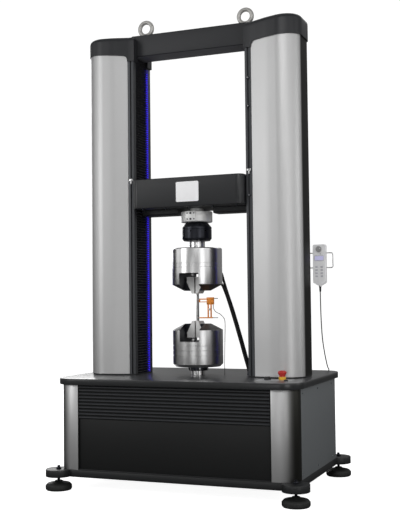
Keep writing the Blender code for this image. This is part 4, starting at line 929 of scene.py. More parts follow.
@dataclass
class Cabinet(Assembly):
    """The base: floor frame on its feet, corner posts, panels and tabletop."""

    width: float = 1.108
    depth: float = 0.734
    corner: float = 0.080
    frame_low: float = 0.060
    frame_high: float = 0.092
    table_low: float = 0.467
    table_high: float = 0.495
    overhang: float = 0.016
    wall: float = 0.003
    ear: float = 0.058
    foot_x: float = 0.549
    foot_y: float = 0.362
    front_half: float = 0.4477
    rear_half: float = 0.4737
    setback: float = 0.006
    ridges: int = 10
    ridge_pitch: float = 0.0148
    # Width of the painted shade strips at the front panel's ends
    seam: float = 0.0034
    screw: float = 0.004
    plinth_high: float = 0.501

    @property
    def span(self) -> tuple[float, float]:
        """The heights between which posts and panels stand."""
        return self.frame_high + HAIR, self.table_low - HAIR

    def build(self) -> None:
        """Builds every piece of the cabinet."""
        self._floor_frame()
        self._feet()
        self._front_panel()
        self._posts_and_sides()
        self._rear_panel()
        self._tabletop()

    def _corners(self) -> list[tuple[float, float, str]]:
        """The place of each foot and the name of its corner."""
        return [(sx * self.foot_x, sy * self.foot_y, f"{end}_{word}")
                for sy, end in ((-1, "front"), (1, "rear")) for sx, word in SIDES]

    def _floor_frame(self) -> None:
        """The plate with a round ear at each corner."""
        x, y = self.width / 2, self.depth / 2
        plate = prism(rectangle((-x, -y), (x, y), self.corner, 16), self.frame_low, self.frame_high)
        ears = [disc(self.ear, self.frame_low, self.frame_high, (x, y), 64) for x, y, _ in self._corners()]
        solid = carved(plate, *ears, operation="UNION")
        self.put("floor_frame", eased(solid, 0.0016), Finishes.FRAME_BLACK, "base_frame")

    def _feet(self) -> None:
        """Domed pads with a ribbed rim, threaded studs and hexagon nuts."""
        pad = rounded_profile([
            (0.015, 0.042, 0.002), (0.020, 0.037, 0.004), (0.050, 0.030, 0.008), (0.0575, 0.022, 0.006),
            (0.0585, 0.006, 0.003), (0.054, 0.0, 0.001),
        ])
        rib_half, ribs = 0.0022, 36
        nut_radius, nut_height, nut_edge = 0.0125, 0.008, 0.0012
        nuts = (("upper", self.frame_high + HAIR), ("lower", self.frame_low - nut_height - 0.0005))
        for x, y, word in self._corners():
            self.put(f"pad_{word}", lathe(pad, (x, y)), Finishes.PAD_RUBBER, f"levelling_foot_{word}")
            rib = box((x + 0.0545, y - rib_half, 0.0065), (x + 0.0588, y + rib_half, 0.0215), 0.001)
            self.round(f"pad_ribs_{word}", rib, Finishes.PAD_RUBBER, ribs, (x, y, 0.0))
            self.thread(f"stud_{word}", Finishes.STEEL_DARK, radius=0.0065, depth=0.0008, pitch=0.0018,
                        low=0.040, high=0.1082, centre=(x, y))
            for level, low in nuts:
                profile = rounded_profile([(nut_radius, low + nut_height, nut_edge),
                                           (nut_radius, low, nut_edge)], 2)
                self.put(f"nut_{level}_{word}", lathe(profile, (x, y), 6), Finishes.STEEL_DARK, smooth=20)

    def _front_panel(self) -> None:
        """A black sheet with rounded ridges that run from post to post. The ridges' lighter black is
        painted light, and a near-black sheet behind them and near-black strips at both ends are painted
        shade.
        """
        front = -self.depth / 2 + self.setback
        back = front + 0.001
        half = self.front_half
        low, high = self.span
        sheet = box((-half, front, low), (half, front + self.wall, high), 0.0004)
        self.put("front_sheet", sheet, Finishes.PANEL_BLACK, "front_panel")
        bottom = high - 0.002 - self.ridges * self.ridge_pitch
        crest = front - 0.0059
        profile = fillet([(back, bottom + 0.003, 0), (crest, bottom + 0.0058, 0.0012),
                          (crest, bottom + 0.0094, 0.0014), (back, bottom + 0.0142, 0)], 5)
        end = half - self.seam - 0.0002
        self.rows("front_ridges", prism(profile, -end, end, "X"), Finishes.RIDGE_PAINTED_LIGHT,
                  self.ridges, (0.0, 0.0, self.ridge_pitch))
        # Painted shade: a near-black sheet that shows between the ridges
        gap = box((-half + 0.001, front - 0.0006, bottom + 0.0002), (half - 0.001, back, high - 0.001))
        self.put("front_gaps", gap, Finishes.PAINTED_SHADE_BLACK)
        # Painted shade: near-black strips where the panel meets the posts
        joint = box((-half, front - 0.0064, low), (-half + self.seam, back, high), 0.0004)
        self.rows("front_joints", joint, Finishes.PAINTED_SHADE_BLACK, 2, (2 * half - self.seam, 0.0, 0.0))
        trim = box((-half, front - 0.0055, low), (half, back, low + 0.004), 0.001)
        self.put("front_sill", trim, Finishes.FRAME_BLACK)

    def _posts_and_sides(self) -> None:
        """Rounded aluminium posts in front and grey panels that wrap the rear corners."""
        x, y = self.width / 2, self.depth / 2
        low, high = self.span
        post_flat, screw_inset, screw_pitch = 0.026, 0.020, 0.245
        joint = -y + self.corner
        front = joint + HAIR
        post = fillet([(x - self.corner - post_flat, -y, 0), (x, -y, self.corner), (x, joint, 0)], 24)
        panel = fillet([(x, front, 0), (x, y, self.corner), (x - self.corner, y, 0)], 24)
        for side, word in SIDES:
            self.put(f"post_{word}", self._sheet(post, side, low, high), Finishes.POST_SILVER,
                     f"front_post_{word}")
            self.put(f"side_{word}", self._sheet(panel, side, low, high), Finishes.SIDE_GREY,
                     f"side_panel_{word}")
            for level, height in (("low", low + screw_inset), ("high", high - screw_inset)):
                screw = socket_screw(self.screw, "X" if side > 0 else "-X",
                                     (side * x, front + screw_inset, height))
                self.rows(f"side_screws_{level}_{word}", screw, Finishes.SIDE_GREY, 3,
                          (0.0, screw_pitch, 0.0))

    def _sheet(self, outer: Sequence[Vector], side: int, low: float, high: float) -> Solid:
        """A thin wall along the outer line of a corner, open behind."""
        inner = []
        for index, here in enumerate(outer):
            before = outer[max(index - 1, 0)]
            after = outer[min(index + 1, len(outer) - 1)]
            along = (after - before).normalized()
            inner.append(here + Vector((-along.y, along.x)) * self.wall)
        return eased(prism(mirrored([*outer, *reversed(inner)], side), low, high), 0.0005)

    def _rear_panel(self) -> None:
        """Rear sheet with vents, a fan grille, an inlet, a switch and signal sockets."""
        y = self.depth / 2
        half = self.rear_half
        low, high = self.span
        sheet = box((-half, y - self.wall, low), (half, y, high), 0.0004)
        self.put("rear_sheet", sheet, Finishes.PANEL_BLACK, "rear_panel")
        louvre = box((-0.30, y - 0.001, low + 0.080), (-0.14, y + 0.0028, low + 0.0865), 0.0012)
        self.rows("rear_louvres", louvre, Finishes.FRAME_BLACK, 8, (0.0, 0.0, 0.014))
        self._fan(0.06, low + 0.19)
        inlet = carved(box((0.255, y, low + 0.060), (0.305, y + 0.006, low + 0.092), 0.002),
                       box((0.262, y + 0.002, low + 0.066), (0.298, y + 0.01, low + 0.086)))
        self.put("power_inlet", inlet, Finishes.PLASTIC_BLACK)
        rocker = box((0.318, y, low + 0.062), (0.336, y + 0.008, low + 0.090), 0.002)
        self.put("mains_switch", rocker, Finishes.RED)
        first = (0.30, y, low + 0.20)
        port = joined(laid(disc(0.011, 0, 0.006), "Y", first), laid(disc(0.0075, 0, 0.010), "Y", first))
        self.rows("signal_sockets", port, Finishes.STEEL_DARK, 3, (0.040, 0.0, 0.0))
        inset = 0.014
        screw = socket_screw(self.screw, "Y", (-half + inset, y, low + inset))
        self.rows("rear_screws", screw, Finishes.STEEL_DARK, 5, ((half - inset) / 2, 0.0, 0.0), 2,
                  (0.0, 0.0, high - low - 2 * inset))

    def _fan(self, x: float, z: float) -> None:
        """The fan's round grille with its spokes."""
        y = self.depth / 2
        rim = torus(0.055, 0.003, "Y", (x, y + 0.001, z))
        radii = (0.012, 0.022, 0.032, 0.042)
        rings = [torus(radius, 0.0012, "Y", (x, y + 0.0022, z), 48) for radius in radii]
        self.put("fan_grille", joined(rim, *rings), Finishes.STEEL_DARK)
        spoke = box((x - 0.001, y + 0.0005, z + 0.010), (x + 0.001, y + 0.0018, z + 0.054))
        self.round("fan_spokes", spoke, Finishes.STEEL_DARK, 6, (x, y, z), (0.0, 1.0, 0.0))

    def _tabletop(self) -> None:
        """The glossy plate with its eased rim and the columns' plinths."""
        x, y = self.width / 2 + self.overhang, self.depth / 2 + self.overhang
        plate = prism(rectangle((-x, -y), (x, y), self.corner + self.overhang, 20), self.table_low,
                      self.table_high)
        self.put("table_plate", eased(plate, 0.0035, 3, 60), Finishes.TABLE_BLACK, "tabletop")
        for side, word in SIDES:
            plinth = prism(mirrored(grown(Column.plan(), -0.0015), side), self.table_high - 0.001,
                           self.plinth_high)
            self.put(f"plinth_{word}", plinth, Finishes.FRAME_BLACK)


# The height at which cables, hoses and the adapter stand on the table
ON_TABLE = Cabinet.table_high + 0.0003


# Columns


@dataclass
class Column(Assembly):
    """One column: cover, extrusions, light strip, bellows, guide, screw and cap."""

    side: int = 1
    word: str = "right"

    strip_x = 0.2745
    strip_width = 0.030
    strip_front = 0.092
    cover_x = 0.3048
    outer_x = 0.520
    bulge = 0.034
    rear = 0.098
    low = 0.5013
    top = 2.015
    beam_low = 1.985
    cap_high = 2.0873
    cap_rim = 0.022
    cap_skirt = 0.026
    cap_wall = 0.004
    cap_inner_drop = 0.012
    cap_outer_rise = {-1: -0.007, 1: 0.009}
    doorway_half = 0.0568
    doorway_high = 2.2
    arm_low = 1.2717
    arm_high = 1.3833
    travel = 0.50
    fold_pitch = 0.0125
    light_pitch = 0.010
    light_points = 143
    stops = {-1: (), 1: (1.824, 1.697, 1.299)}
    limit_block = {-1: 1.399, 1: 1.411}

    @classmethod
    def cover_plan(cls) -> list[Vector]:
        """The right cover's plan, from its inner front edge round to its inner rear edge."""
        first = cls.cover_x + (cls.outer_x - cls.cover_x) * 0.33
        corners = [
            (cls.cover_x, AXIS_Y - cls.strip_front, 0),
            (first, AXIS_Y - cls.strip_front - cls.bulge * 0.55, 0.25),
            (cls.outer_x, AXIS_Y - cls.strip_front - cls.bulge, 0.090),
            (cls.outer_x, AXIS_Y + cls.rear, 0.040),
            (cls.cover_x, AXIS_Y + cls.rear, 0),
        ]
        return fillet(corners, 28)

    @classmethod
    def plan(cls) -> list[Vector]:
        """The whole right column's plan, cover and extrusions together."""
        return [Vector((cls.strip_x, AXIS_Y - cls.strip_front)), *cls.cover_plan(),
                Vector((cls.strip_x, AXIS_Y + cls.rear))]

    def build(self) -> None:
        """Builds the column's pieces."""
        self._cover()
        self._front_strip()
        self._rear_strip()
        self._light()
        self._bellows("lower", self.low, self.arm_low)
        self._bellows("upper", self.arm_high, self.beam_low - HAIR)
        self._cap()
        self._hidden()

    def _cover(self) -> None:
        """The silver cover, a thin bowed sheet."""
        outer = self.cover_plan()
        inwards = self.cover_x - 0.2
        closed = [*outer, Vector((inwards, AXIS_Y + self.rear)),
                  Vector((inwards, AXIS_Y - self.strip_front))]
        inner = grown(closed, -0.003)[:len(outer)]
        inner[0].x = outer[0].x
        inner[-1].x = outer[-1].x
        sheet = prism(mirrored([*outer, *reversed(inner)], self.side), self.low, self.top)
        self.put(f"cover_{self.word}", eased(sheet, 0.0006, 1, 60), Finishes.SILVER,
                 f"column_cover_{self.word}")

    def _front_strip(self) -> None:
        """The T-slot extrusion with a slot in its face, and the travel stops clamped in it."""
        front = AXIS_Y - self.strip_front
        outline = rectangle((self.strip_x, front), (self.strip_x + self.strip_width, front + 0.024),
                            0.0015, 3)
        bar = prism(mirrored(outline, self.side), self.low, self.top)
        x = self.side * (self.strip_x + self.strip_width / 2)
        slot = 0.0038
        mouth = box((x - slot, front - 0.01, self.low - 0.01), (x + slot, front + 0.009, self.top + 0.01))
        self.put(f"strip_{self.word}", carved(bar, mouth), Finishes.EXTRUSION, f"front_strip_{self.word}")
        back = front + 0.001
        for index, height in enumerate(self.stops[self.side]):
            clip = box((x - 0.0085, front - 0.0055, height - 0.005), (x + 0.0085, back, height + 0.005),
                       0.0015)
            self.put(f"stop_{self.word}_{index}", clip, Finishes.STEEL_DARK)
            screw = socket_screw(0.0026, "-Y", (x, front - 0.005, height))
            self.put(f"stop_screw_{self.word}_{index}", screw, Finishes.STEEL_BRIGHT)
        height = self.limit_block[self.side]
        block = joined(
            box((x - 0.0095, front - 0.0056, height - 0.0058), (x + 0.0095, back, height + 0.0058),
                0.0015),
            box((x - 0.003, front - 0.004, height - 0.018), (x + 0.003, back, height), 0.001),
        )
        self.put(f"limit_block_{self.word}", block, Finishes.STEEL_BRIGHT)

    def _rear_strip(self) -> None:
        """The extrusion behind the slot."""
        outer, back = self.strip_x + self.strip_width, AXIS_Y + self.rear - 0.0033
        outline = [(self.strip_x, AXIS_Y + 0.0723), (outer, AXIS_Y + 0.0623), (outer, back),
                   (self.strip_x, back)]
        bar = prism(mirrored(outline, self.side), self.low, self.top)
        self.put(f"rear_strip_{self.word}", eased(bar, 0.0012), Finishes.EXTRUSION,
                 f"rear_strip_{self.word}")

    def _light(self) -> None:
        """The lit strip: a glowing channel with a row of brighter points."""
        outline = [
            (self.strip_x, AXIS_Y + 0.072), (self.strip_x, AXIS_Y + 0.068),
            (self.strip_x + 0.024, AXIS_Y + 0.060), (self.strip_x + 0.024, AXIS_Y + 0.0632),
        ]
        bar = prism(mirrored(outline, self.side), self.low, self.beam_low - 0.035)
        self.put(f"light_{self.word}", bar, Finishes.LED_BASE, f"light_strip_{self.word}")
        x, y, low = self.side * (self.strip_x + 0.006), AXIS_Y + 0.065, self.low + 0.006
        dot = box((x - 0.004, y, low), (x + 0.004, y + 0.0012, low + 0.004), 0.0005)
        self.rows(f"light_points_{self.word}", dot, Finishes.LED_DOT, self.light_points,
                  (0.0, 0.0, self.light_pitch))

    def _bellows(self, level: str, low: float, high: float) -> None:
        """A pleated skin over the slot.

        Args:
            level: "lower" or "upper", for which side of the crosshead it covers.
            low: Its lower end.
            high: Its upper end.
        """
        name = f"bellows_{level}_{self.word}"
        folds = round((high - low) / self.fold_pitch)
        obj = self.put(name, seed(), Finishes.BELLOWS, name, riding=False)
        self.rules.pleat.bake(obj, folds=folds, low=low, high=high, front=AXIS_Y - 0.0677,
                              rear=AXIS_Y + 0.0577, crest=self.side * (self.strip_x + 0.0012),
                              root=self.side * (self.strip_x + 0.0125), finish=Finishes.BELLOWS.material())
        bm = bmesh.new()
        bm.from_mesh(obj.data)
        bmesh.ops.recalc_face_normals(bm, faces=bm.faces)
        bmesh.ops.solidify(bm, geom=bm.faces, thickness=0.0008)
        bmesh.ops.recalc_face_normals(bm, faces=bm.faces)
        bm.to_mesh(obj.data)
        bm.free()
        if level == "lower":
            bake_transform(obj)
        else:
            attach(obj, Body.FRAME.value)
            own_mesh(obj)

    def _cap(self) -> None:
        """The moulded cap with its skirt, arched over the cover."""
        low = self.beam_low - self.cap_skirt
        under = low - PAST
        shell = self._domed(grown(self.plan(), 0.005), low, self.cap_high, self.cap_rim)
        hollow = self._domed(grown(self.plan(), 0.001), under, self.cap_high - self.cap_wall,
                             self.cap_rim - self.cap_wall)
        beyond = self.outer_x + PAST
        window = fillet([
            (self.cover_x, under, 0), (self.cover_x, self.beam_low, 0.022),
            (beyond, self.beam_low + 0.022, 0), (beyond, under, 0),
        ], 8)
        arch = prism(mirrored(window, self.side), AXIS_Y - 0.3, AXIS_Y + 0.3, "Y")
        xs = sorted((0.0, self.side * 0.30))
        doorway = box((xs[0], AXIS_Y - self.doorway_half, under),
                      (xs[1], AXIS_Y + self.doorway_half, self.doorway_high))
        cap = carved(shell, hollow, arch, doorway)
        for vert in cap.verts:
            if vert.co.z > self.top:
                share = (abs(vert.co.x) - self.strip_x) / (self.outer_x - self.strip_x)
                share = min(max(share, 0.0), 1.0)
                vert.co.z += self.cap_outer_rise[self.side] * share - self.cap_inner_drop * (1 - share)
        self.put(f"cap_{self.word}", cap, Finishes.CAST_BLACK, f"top_cap_{self.word}", smooth=40)

    def _domed(self, outline: Sequence[Vector], low: float, high: float, edge: float) -> Solid:
        """An upright prism whose upper rim is rounded."""
        bm = prism(mirrored(outline, self.side), low, high - edge)
        top = max(bm.faces, key=lambda face: face.calc_center_median().z)
        turns = [math.pi / 2 * step / 8 for step in range(9)]
        for before, after in zip(turns, turns[1:]):
            bmesh.ops.inset_region(
                bm, faces=[top], thickness=edge * (math.cos(before) - math.cos(after)),
                depth=edge * (math.sin(after) - math.sin(before)), use_even_offset=True, use_boundary=True,
            )
        return bm

    def _hidden(self) -> None:
        """Gives the guide and the screw behind the bellows their finishes."""
        paint_node(f"guide_column_{self.word}", Finishes.STEEL_BRIGHT)
        paint_node(f"ball_screw_{self.word}", Finishes.STEEL_TURNED)


def paint_node(name: str, finish: Finish) -> None:
    """Gives a CAD node that stays in view a procedural finish."""
    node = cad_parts[name]
    node.data.materials.clear()
    node.data.materials.append(finish.material())
    shade(node.data)


# Top beam and lifting eyes


@dataclass
class Top(Assembly):
    """The fixed beam and its two lifting eyes."""

    low: float = 1.985
    high: float = 2.0825
    eye_x: float = 0.250
    eye_radius: float = 0.0315
    wire: float = 0.0095
    section_half: float = 0.0565
    crown: float = 0.0046
    between_columns: float = 0.2995
    tongue_high: float = 2.065
    tongue_end: float = 0.468

    def build(self) -> None:
        """Builds the beam and the eyes."""
        half = self.section_half
        section = rectangle((AXIS_Y - half, self.low), (AXIS_Y + half, self.high + self.crown), 0.005, 4)
        half -= 0.0005
        tongue = rectangle((AXIS_Y - half, self.low + 0.0005), (AXIS_Y + half, self.tongue_high), 0.004, 4)
        solid = joined(prism(section, -self.between_columns, self.between_columns, "X"),
                       prism(tongue, -self.tongue_end, self.tongue_end, "X"))
        beam = self.put("beam", solid, Finishes.CAST_BLACK, "top_beam")
        # The beam's underside gets a lighter black: painted light
        beam.data.materials.append(Finishes.CAST_PAINTED_LIGHT.material())
        for face in beam.data.polygons:
            if face.normal.z < -0.95:
                face.material_index = 1
        for side, word in SIDES:
            x = side * self.eye_x
            centre = self.high + 0.0003 + 0.0105 + self.eye_radius + self.wire * 0.55
            foot = self.high + HAIR
            collar = rounded_profile([(0.009, foot + 0.016, 0.001), (0.01, foot + 0.011, 0.003),
                                      (0.0185, foot + 0.006, 0.002), (0.0185, foot, 0.0005)])
            eye = joined(torus(self.eye_radius, self.wire, "Y", (x, AXIS_Y, centre)),
                         lathe(collar, (x, AXIS_Y), 48))
            self.put(f"eye_{word}", eye, Finishes.STEEL_SATIN, f"eye_bolt_{word}")


# Crosshead and load train


@dataclass
class Crosshead(Assembly):
    """The moving crosshead: cover, beam with ribs, plain plate and fasteners."""

    body = Body.CROSSHEAD

    half: float = 0.2715
    depth: float = 0.256
    low: float = 1.260
    high: float = 1.395
    corner: float = 0.030
    crease: float = 0.240
    wall: float = 0.003
    doorway_half: float = 0.0553
    screw_x: float = 0.352
    guide_x: float = 0.432
    arm_half: float = 0.055
    arm_inset: float = 0.012

    def build(self) -> None:
        """Builds the crosshead's pieces."""
        self._cover()
        self._beam()
        self._plate()

    def _plan(self, inset: float) -> list[Vector]:
        """The rounded plan, moved inwards."""
        x, y = self.half - inset, self.depth / 2 - inset
        return rectangle((-x, AXIS_Y - y), (x, AXIS_Y + y), self.corner - inset, 16)

    def _cover(self) -> None:
        """The black cover with a shallow seam near each end."""
        solid = eased(prism(self._plan(0.0), self.low, self.high), 0.004, 3, 60)
        hollow = prism(self._plan(self.wall), self.low - PAST, self.high - self.wall)
        doorway = box((-0.35, AXIS_Y - self.doorway_half, self.low - PAST),
                      (0.35, AXIS_Y + self.doorway_half, self.high - 0.0117))
        front = AXIS_Y - self.depth / 2
        seams = [box((side * self.crease - 0.0006, front - 0.01, self.low - 0.01),
                     (side * self.crease + 0.0006, front + 0.0009, self.high + 0.01)) for side, _ in SIDES]
        shell = carved(solid, hollow, doorway, *seams)
        self.put("crosshead_shell", shell, Finishes.CROSSHEAD_BLACK, "crosshead_cover")

    def _beam(self) -> None:
        """The beam inside with its arms and the two lower ribs."""
        parts = [prism(self._plan(0.0033), self.low, self.high - 0.0033)]
        rib_front, rib_rear, rib_low, rib_edge = AXIS_Y - 0.018, AXIS_Y + 0.067, self.low - 0.025, 0.009
        section = fillet([
            (rib_front, rib_low, rib_edge), (rib_rear, rib_low, rib_edge),
            (rib_rear, self.low + 0.01, 0), (rib_front, self.low + 0.01, 0),
        ], 6)
        for side, word in SIDES:
            xs = sorted((side * 0.22, side * 0.480))
            arm = box((xs[0], AXIS_Y - self.arm_half, self.low + self.arm_inset),
                      (xs[1], AXIS_Y + self.arm_half, self.high - self.arm_inset), 0.002)
            bores = [disc(radius, 1.1, 1.6, (side * x, AXIS_Y), 40)
                     for x, radius in ((self.screw_x, 0.0206), (self.guide_x, 0.0256))]
            self.put(f"arm_{word}", carved(arm, *bores), Finishes.CAST_BLACK)
            ends = sorted((side * 0.088, side * 0.268))
            parts.append(prism(section, ends[0], ends[1], "X"))
        self.put("crosshead_core", joined(*parts), Finishes.CROSSHEAD_BLACK, "crosshead_beam")
        screw = socket_screw(0.006, "-Z", (-0.230, AXIS_Y - 0.095, self.low + HAIR))
        self.rows("crosshead_screws", screw, Finishes.STEEL_DARK, 5, (0.115, 0.0, 0.0), 2,
                  (0.0, 0.19, 0.0))

    def _plate(self) -> None:
        """The plain pale plate on the front."""
        front = AXIS_Y - self.depth / 2
        outline = rectangle((-0.0485, 1.282), (0.0615, 1.3725), 0.006, 5)
        plate = eased(prism(outline, front - 0.0012, front + 0.0005, "Y"), 0.0004)
        self.put("blank_plate", plate, Finishes.PLATE_WHITE)


@dataclass
class LoadTrain(Assembly):
    """Load cell and ring nut between the crosshead and the upper grip."""

    body = Body.CROSSHEAD

    cell_radius: float = 0.0726
    nut_radius: float = 0.0684
    groove: float = 0.001
    connector_z: float = 1.22
    hole_z: float = 1.154
    holes: int = 6

    def build(self) -> None:
        """Builds the load cell with its plate, connector and lead, and the ring nut."""
        self._cell()
        self._lead()
        self._nut()

    def _cell(self) -> None:
        """The turned body with a groove, and the milled plate with its screws."""
        r, root = self.cell_radius, self.cell_radius - self.groove
        cell = rounded_profile([
            (0.031, 1.2597, 0), (0.031, 1.2455, 0), (r - 0.0026, 1.2455, 0.002), (r, 1.243, 0.002),
            (r, 1.2285, 0), (root, 1.228, 0), (root, 1.2265, 0), (r, 1.226, 0), (r, 1.1985, 0.002),
            (r - 0.0026, 1.1965, 0.002),
        ], 2)
        front = AXIS_Y - r
        milled = box((-0.024, front - 0.0035, 1.1975), (0.024, front + 0.02, 1.244), 0.001)
        self.put("cell_body", joined(lathe(cell, sides=96), milled), Finishes.STEEL_PALE, "load_cell")
        columns = (("cell_screws", 0.003, -0.0165, 2), ("cell_plugs", 0.0044, 0.0, 1))
        for name, radius, x, count in columns:
            screw = socket_screw(radius, "-Y", (x, front - 0.0026, 1.2075))
            self.rows(name, screw, Finishes.STEEL_DARK, count, (0.033, 0.0, 0.0), 2, (0.0, 0.0, 0.027))
    def _lead(self) -> None:
        """The connector behind the cell and the short lead up into the crosshead."""
        connector = turned([(0.0065, 0.022, 0.001), (0.0065, 0.010, 0), (0.0085, 0.010, 0.0005),
                            (0.0085, 0.0, 0)], "Y", (0.0, AXIS_Y + 0.071, self.connector_z))
        self.put("cell_connector", connector, Finishes.STEEL_BRIGHT)
        way = ((0.0925, 0.0), (0.104, 0.001), (0.113, 0.01), (0.116, 0.025), (0.116, 0.0395))
        lead = smooth_route([(0.0, AXIS_Y + back, self.connector_z + up) for back, up in way], 0.004)
        self.put("cell_lead", tube(lead, 0.0025), Finishes.CABLE)

    def _nut(self) -> None:
        """The ring nut with a groove and its spanner holes."""
        r, root = self.nut_radius, self.nut_radius - 0.0012
        nut = rounded_profile([
            (0.0486, 1.1962, 0.001), (r, 1.1732, 0.003), (r, 1.165, 0), (root, 1.164, 0),
            (root, 1.1625, 0), (r, 1.1615, 0), (r, 1.1217, 0.002), (0.0607, 1.1107, 0.001),
        ], 3)
        holes = [laid(disc(0.004, 0, 0.02, sides=24), "X", (r - 0.010, 0, 0)) for _ in range(self.holes)]
        middle = Matrix.Translation((0, AXIS_Y, self.hole_z))
        for index, hole in enumerate(holes):
            turn = Matrix.Rotation(math.radians(360 / self.holes * index - 93), 4, "Z")
            bmesh.ops.transform(hole, matrix=middle @ turn, verts=hole.verts)
        self.put("lock_ring", carved(lathe(nut, sides=96), *holes), Finishes.STEEL_DARK, "ring_nut")


@dataclass
class Grip(Assembly):
    """A wedge grip. The lower one is the upper one upside down, with a spigot for a shank."""

    word: str = "upper"
    mouth: float = 0.8814
    sign: int = 1
    body: Body = Body.CROSSHEAD

    radius = 0.115
    height = 0.195
    cone = 0.028
    mouth_radius = 0.061
    slot_half = 0.047
    slot_top = 0.0793
    channel_half = 0.0345
    wedge_angle = 25

    def _z(self, height: float) -> float:
        """The world height of a height above the grip's mouth."""
        return self.mouth + self.sign * height

    def build(self) -> None:
        """Builds the turned body, the pin in its slot and the jaws' finish."""
        r, h = self.radius, self.height
        upright = self.sign > 0
        stem, stem_radius = (0.034, 0.0367) if upright else (0.012, 0.020)
        chamfer = 0.004 if upright else 0.013
        groove = 0.0012
        bands = (0.1245, 0.1065) if upright else (0.1415, 0.1195, 0.0975)
        corners = [(stem_radius, h + stem, 0.001), (stem_radius, h, 0), (r - chamfer, h, 0.001),
                   (r, h - chamfer, 0.001)]
        for band in bands:
            corners += [(r, band + 0.0014, 0), (r - groove, band + 0.0006, 0),
                        (r - groove, band - 0.0006, 0), (r, band - 0.0014, 0)]
        corners += [(r, self.cone, 0.0015), (self.mouth_radius, 0, 0.001)]
        profile = [(point.x, self._z(point.y)) for point in rounded_profile(corners, 3)]
        if not upright:
            profile.reverse()
        solid = carved(lathe(profile, sides=96), *self._slot())
        # The lower grip gets a darker copy of the same steel: painted shade
        finish = Finishes.STEEL_TURNED if upright else Finishes.STEEL_LOWER
        obj = self.put(f"{self.word}_grip_body", eased(solid, 0.0006, 1, 60), finish, f"{self.word}_grip")
        self._shade(obj)
        pin = turned([(0.0062, 0.012, 0.0015), (0.0062, 0, 0)], "-Y",
                     (-0.006, AXIS_Y - 0.035, self._z(0.0735)))
        self.put(f"{self.word}_slot_pin", pin, Finishes.STEEL_PALE)
        for _, word in SIDES:
            paint_node(f"{self.word}_jaw_{word}", Finishes.STEEL_PALE)

    def _shade(self, obj: Piece) -> None:
        """Paints shade into the body: the slot's walls get the dark finish and the cone a darker steel,
        both as painted shade.
        """
        obj.data.materials.append(Finishes.STEEL_DARK.material())
        obj.data.materials.append(Finishes.STEEL_SHADED.material())
        for face in obj.data.polygons:
            height = (face.center.z - self.mouth) * self.sign
            level = abs(face.normal.y) < 0.05 or abs(face.center.y - AXIS_Y) < 0.05
            inside = abs(face.center.x) < self.slot_half + 0.0004
            if level and inside and height < self.slot_top + 0.0005:
                face.material_index = 1
            elif height < self.cone - 0.0005:
                face.material_index = 2

    def _slot(self) -> list[Solid]:
        """The wedge channel and the straight slots in front and behind."""
        half, top, out = self.slot_half, self.slot_top, 0.013
        low_x = 0.0035 + 0.012 + 0.00033
        turn = (half - low_x) / math.tan(math.radians(self.wedge_angle)) - out
        right = [(low_x, -out), (half, turn), (half, top)]
        outline = [(x, self._z(z)) for x, z in right + [(-x, z) for x, z in reversed(right)]]
        channel = prism(outline, AXIS_Y - self.channel_half, AXIS_Y + self.channel_half, "Y")
        heights = sorted((self._z(-PAST), self._z(top)))
        slots = [box((-half, AXIS_Y + near, heights[0]), (half, AXIS_Y + far, heights[1]))
                 for near, far in ((-0.2, 0.0005 - self.channel_half), (self.channel_half - 0.0005, 0.2))]
        return [channel, *slots]


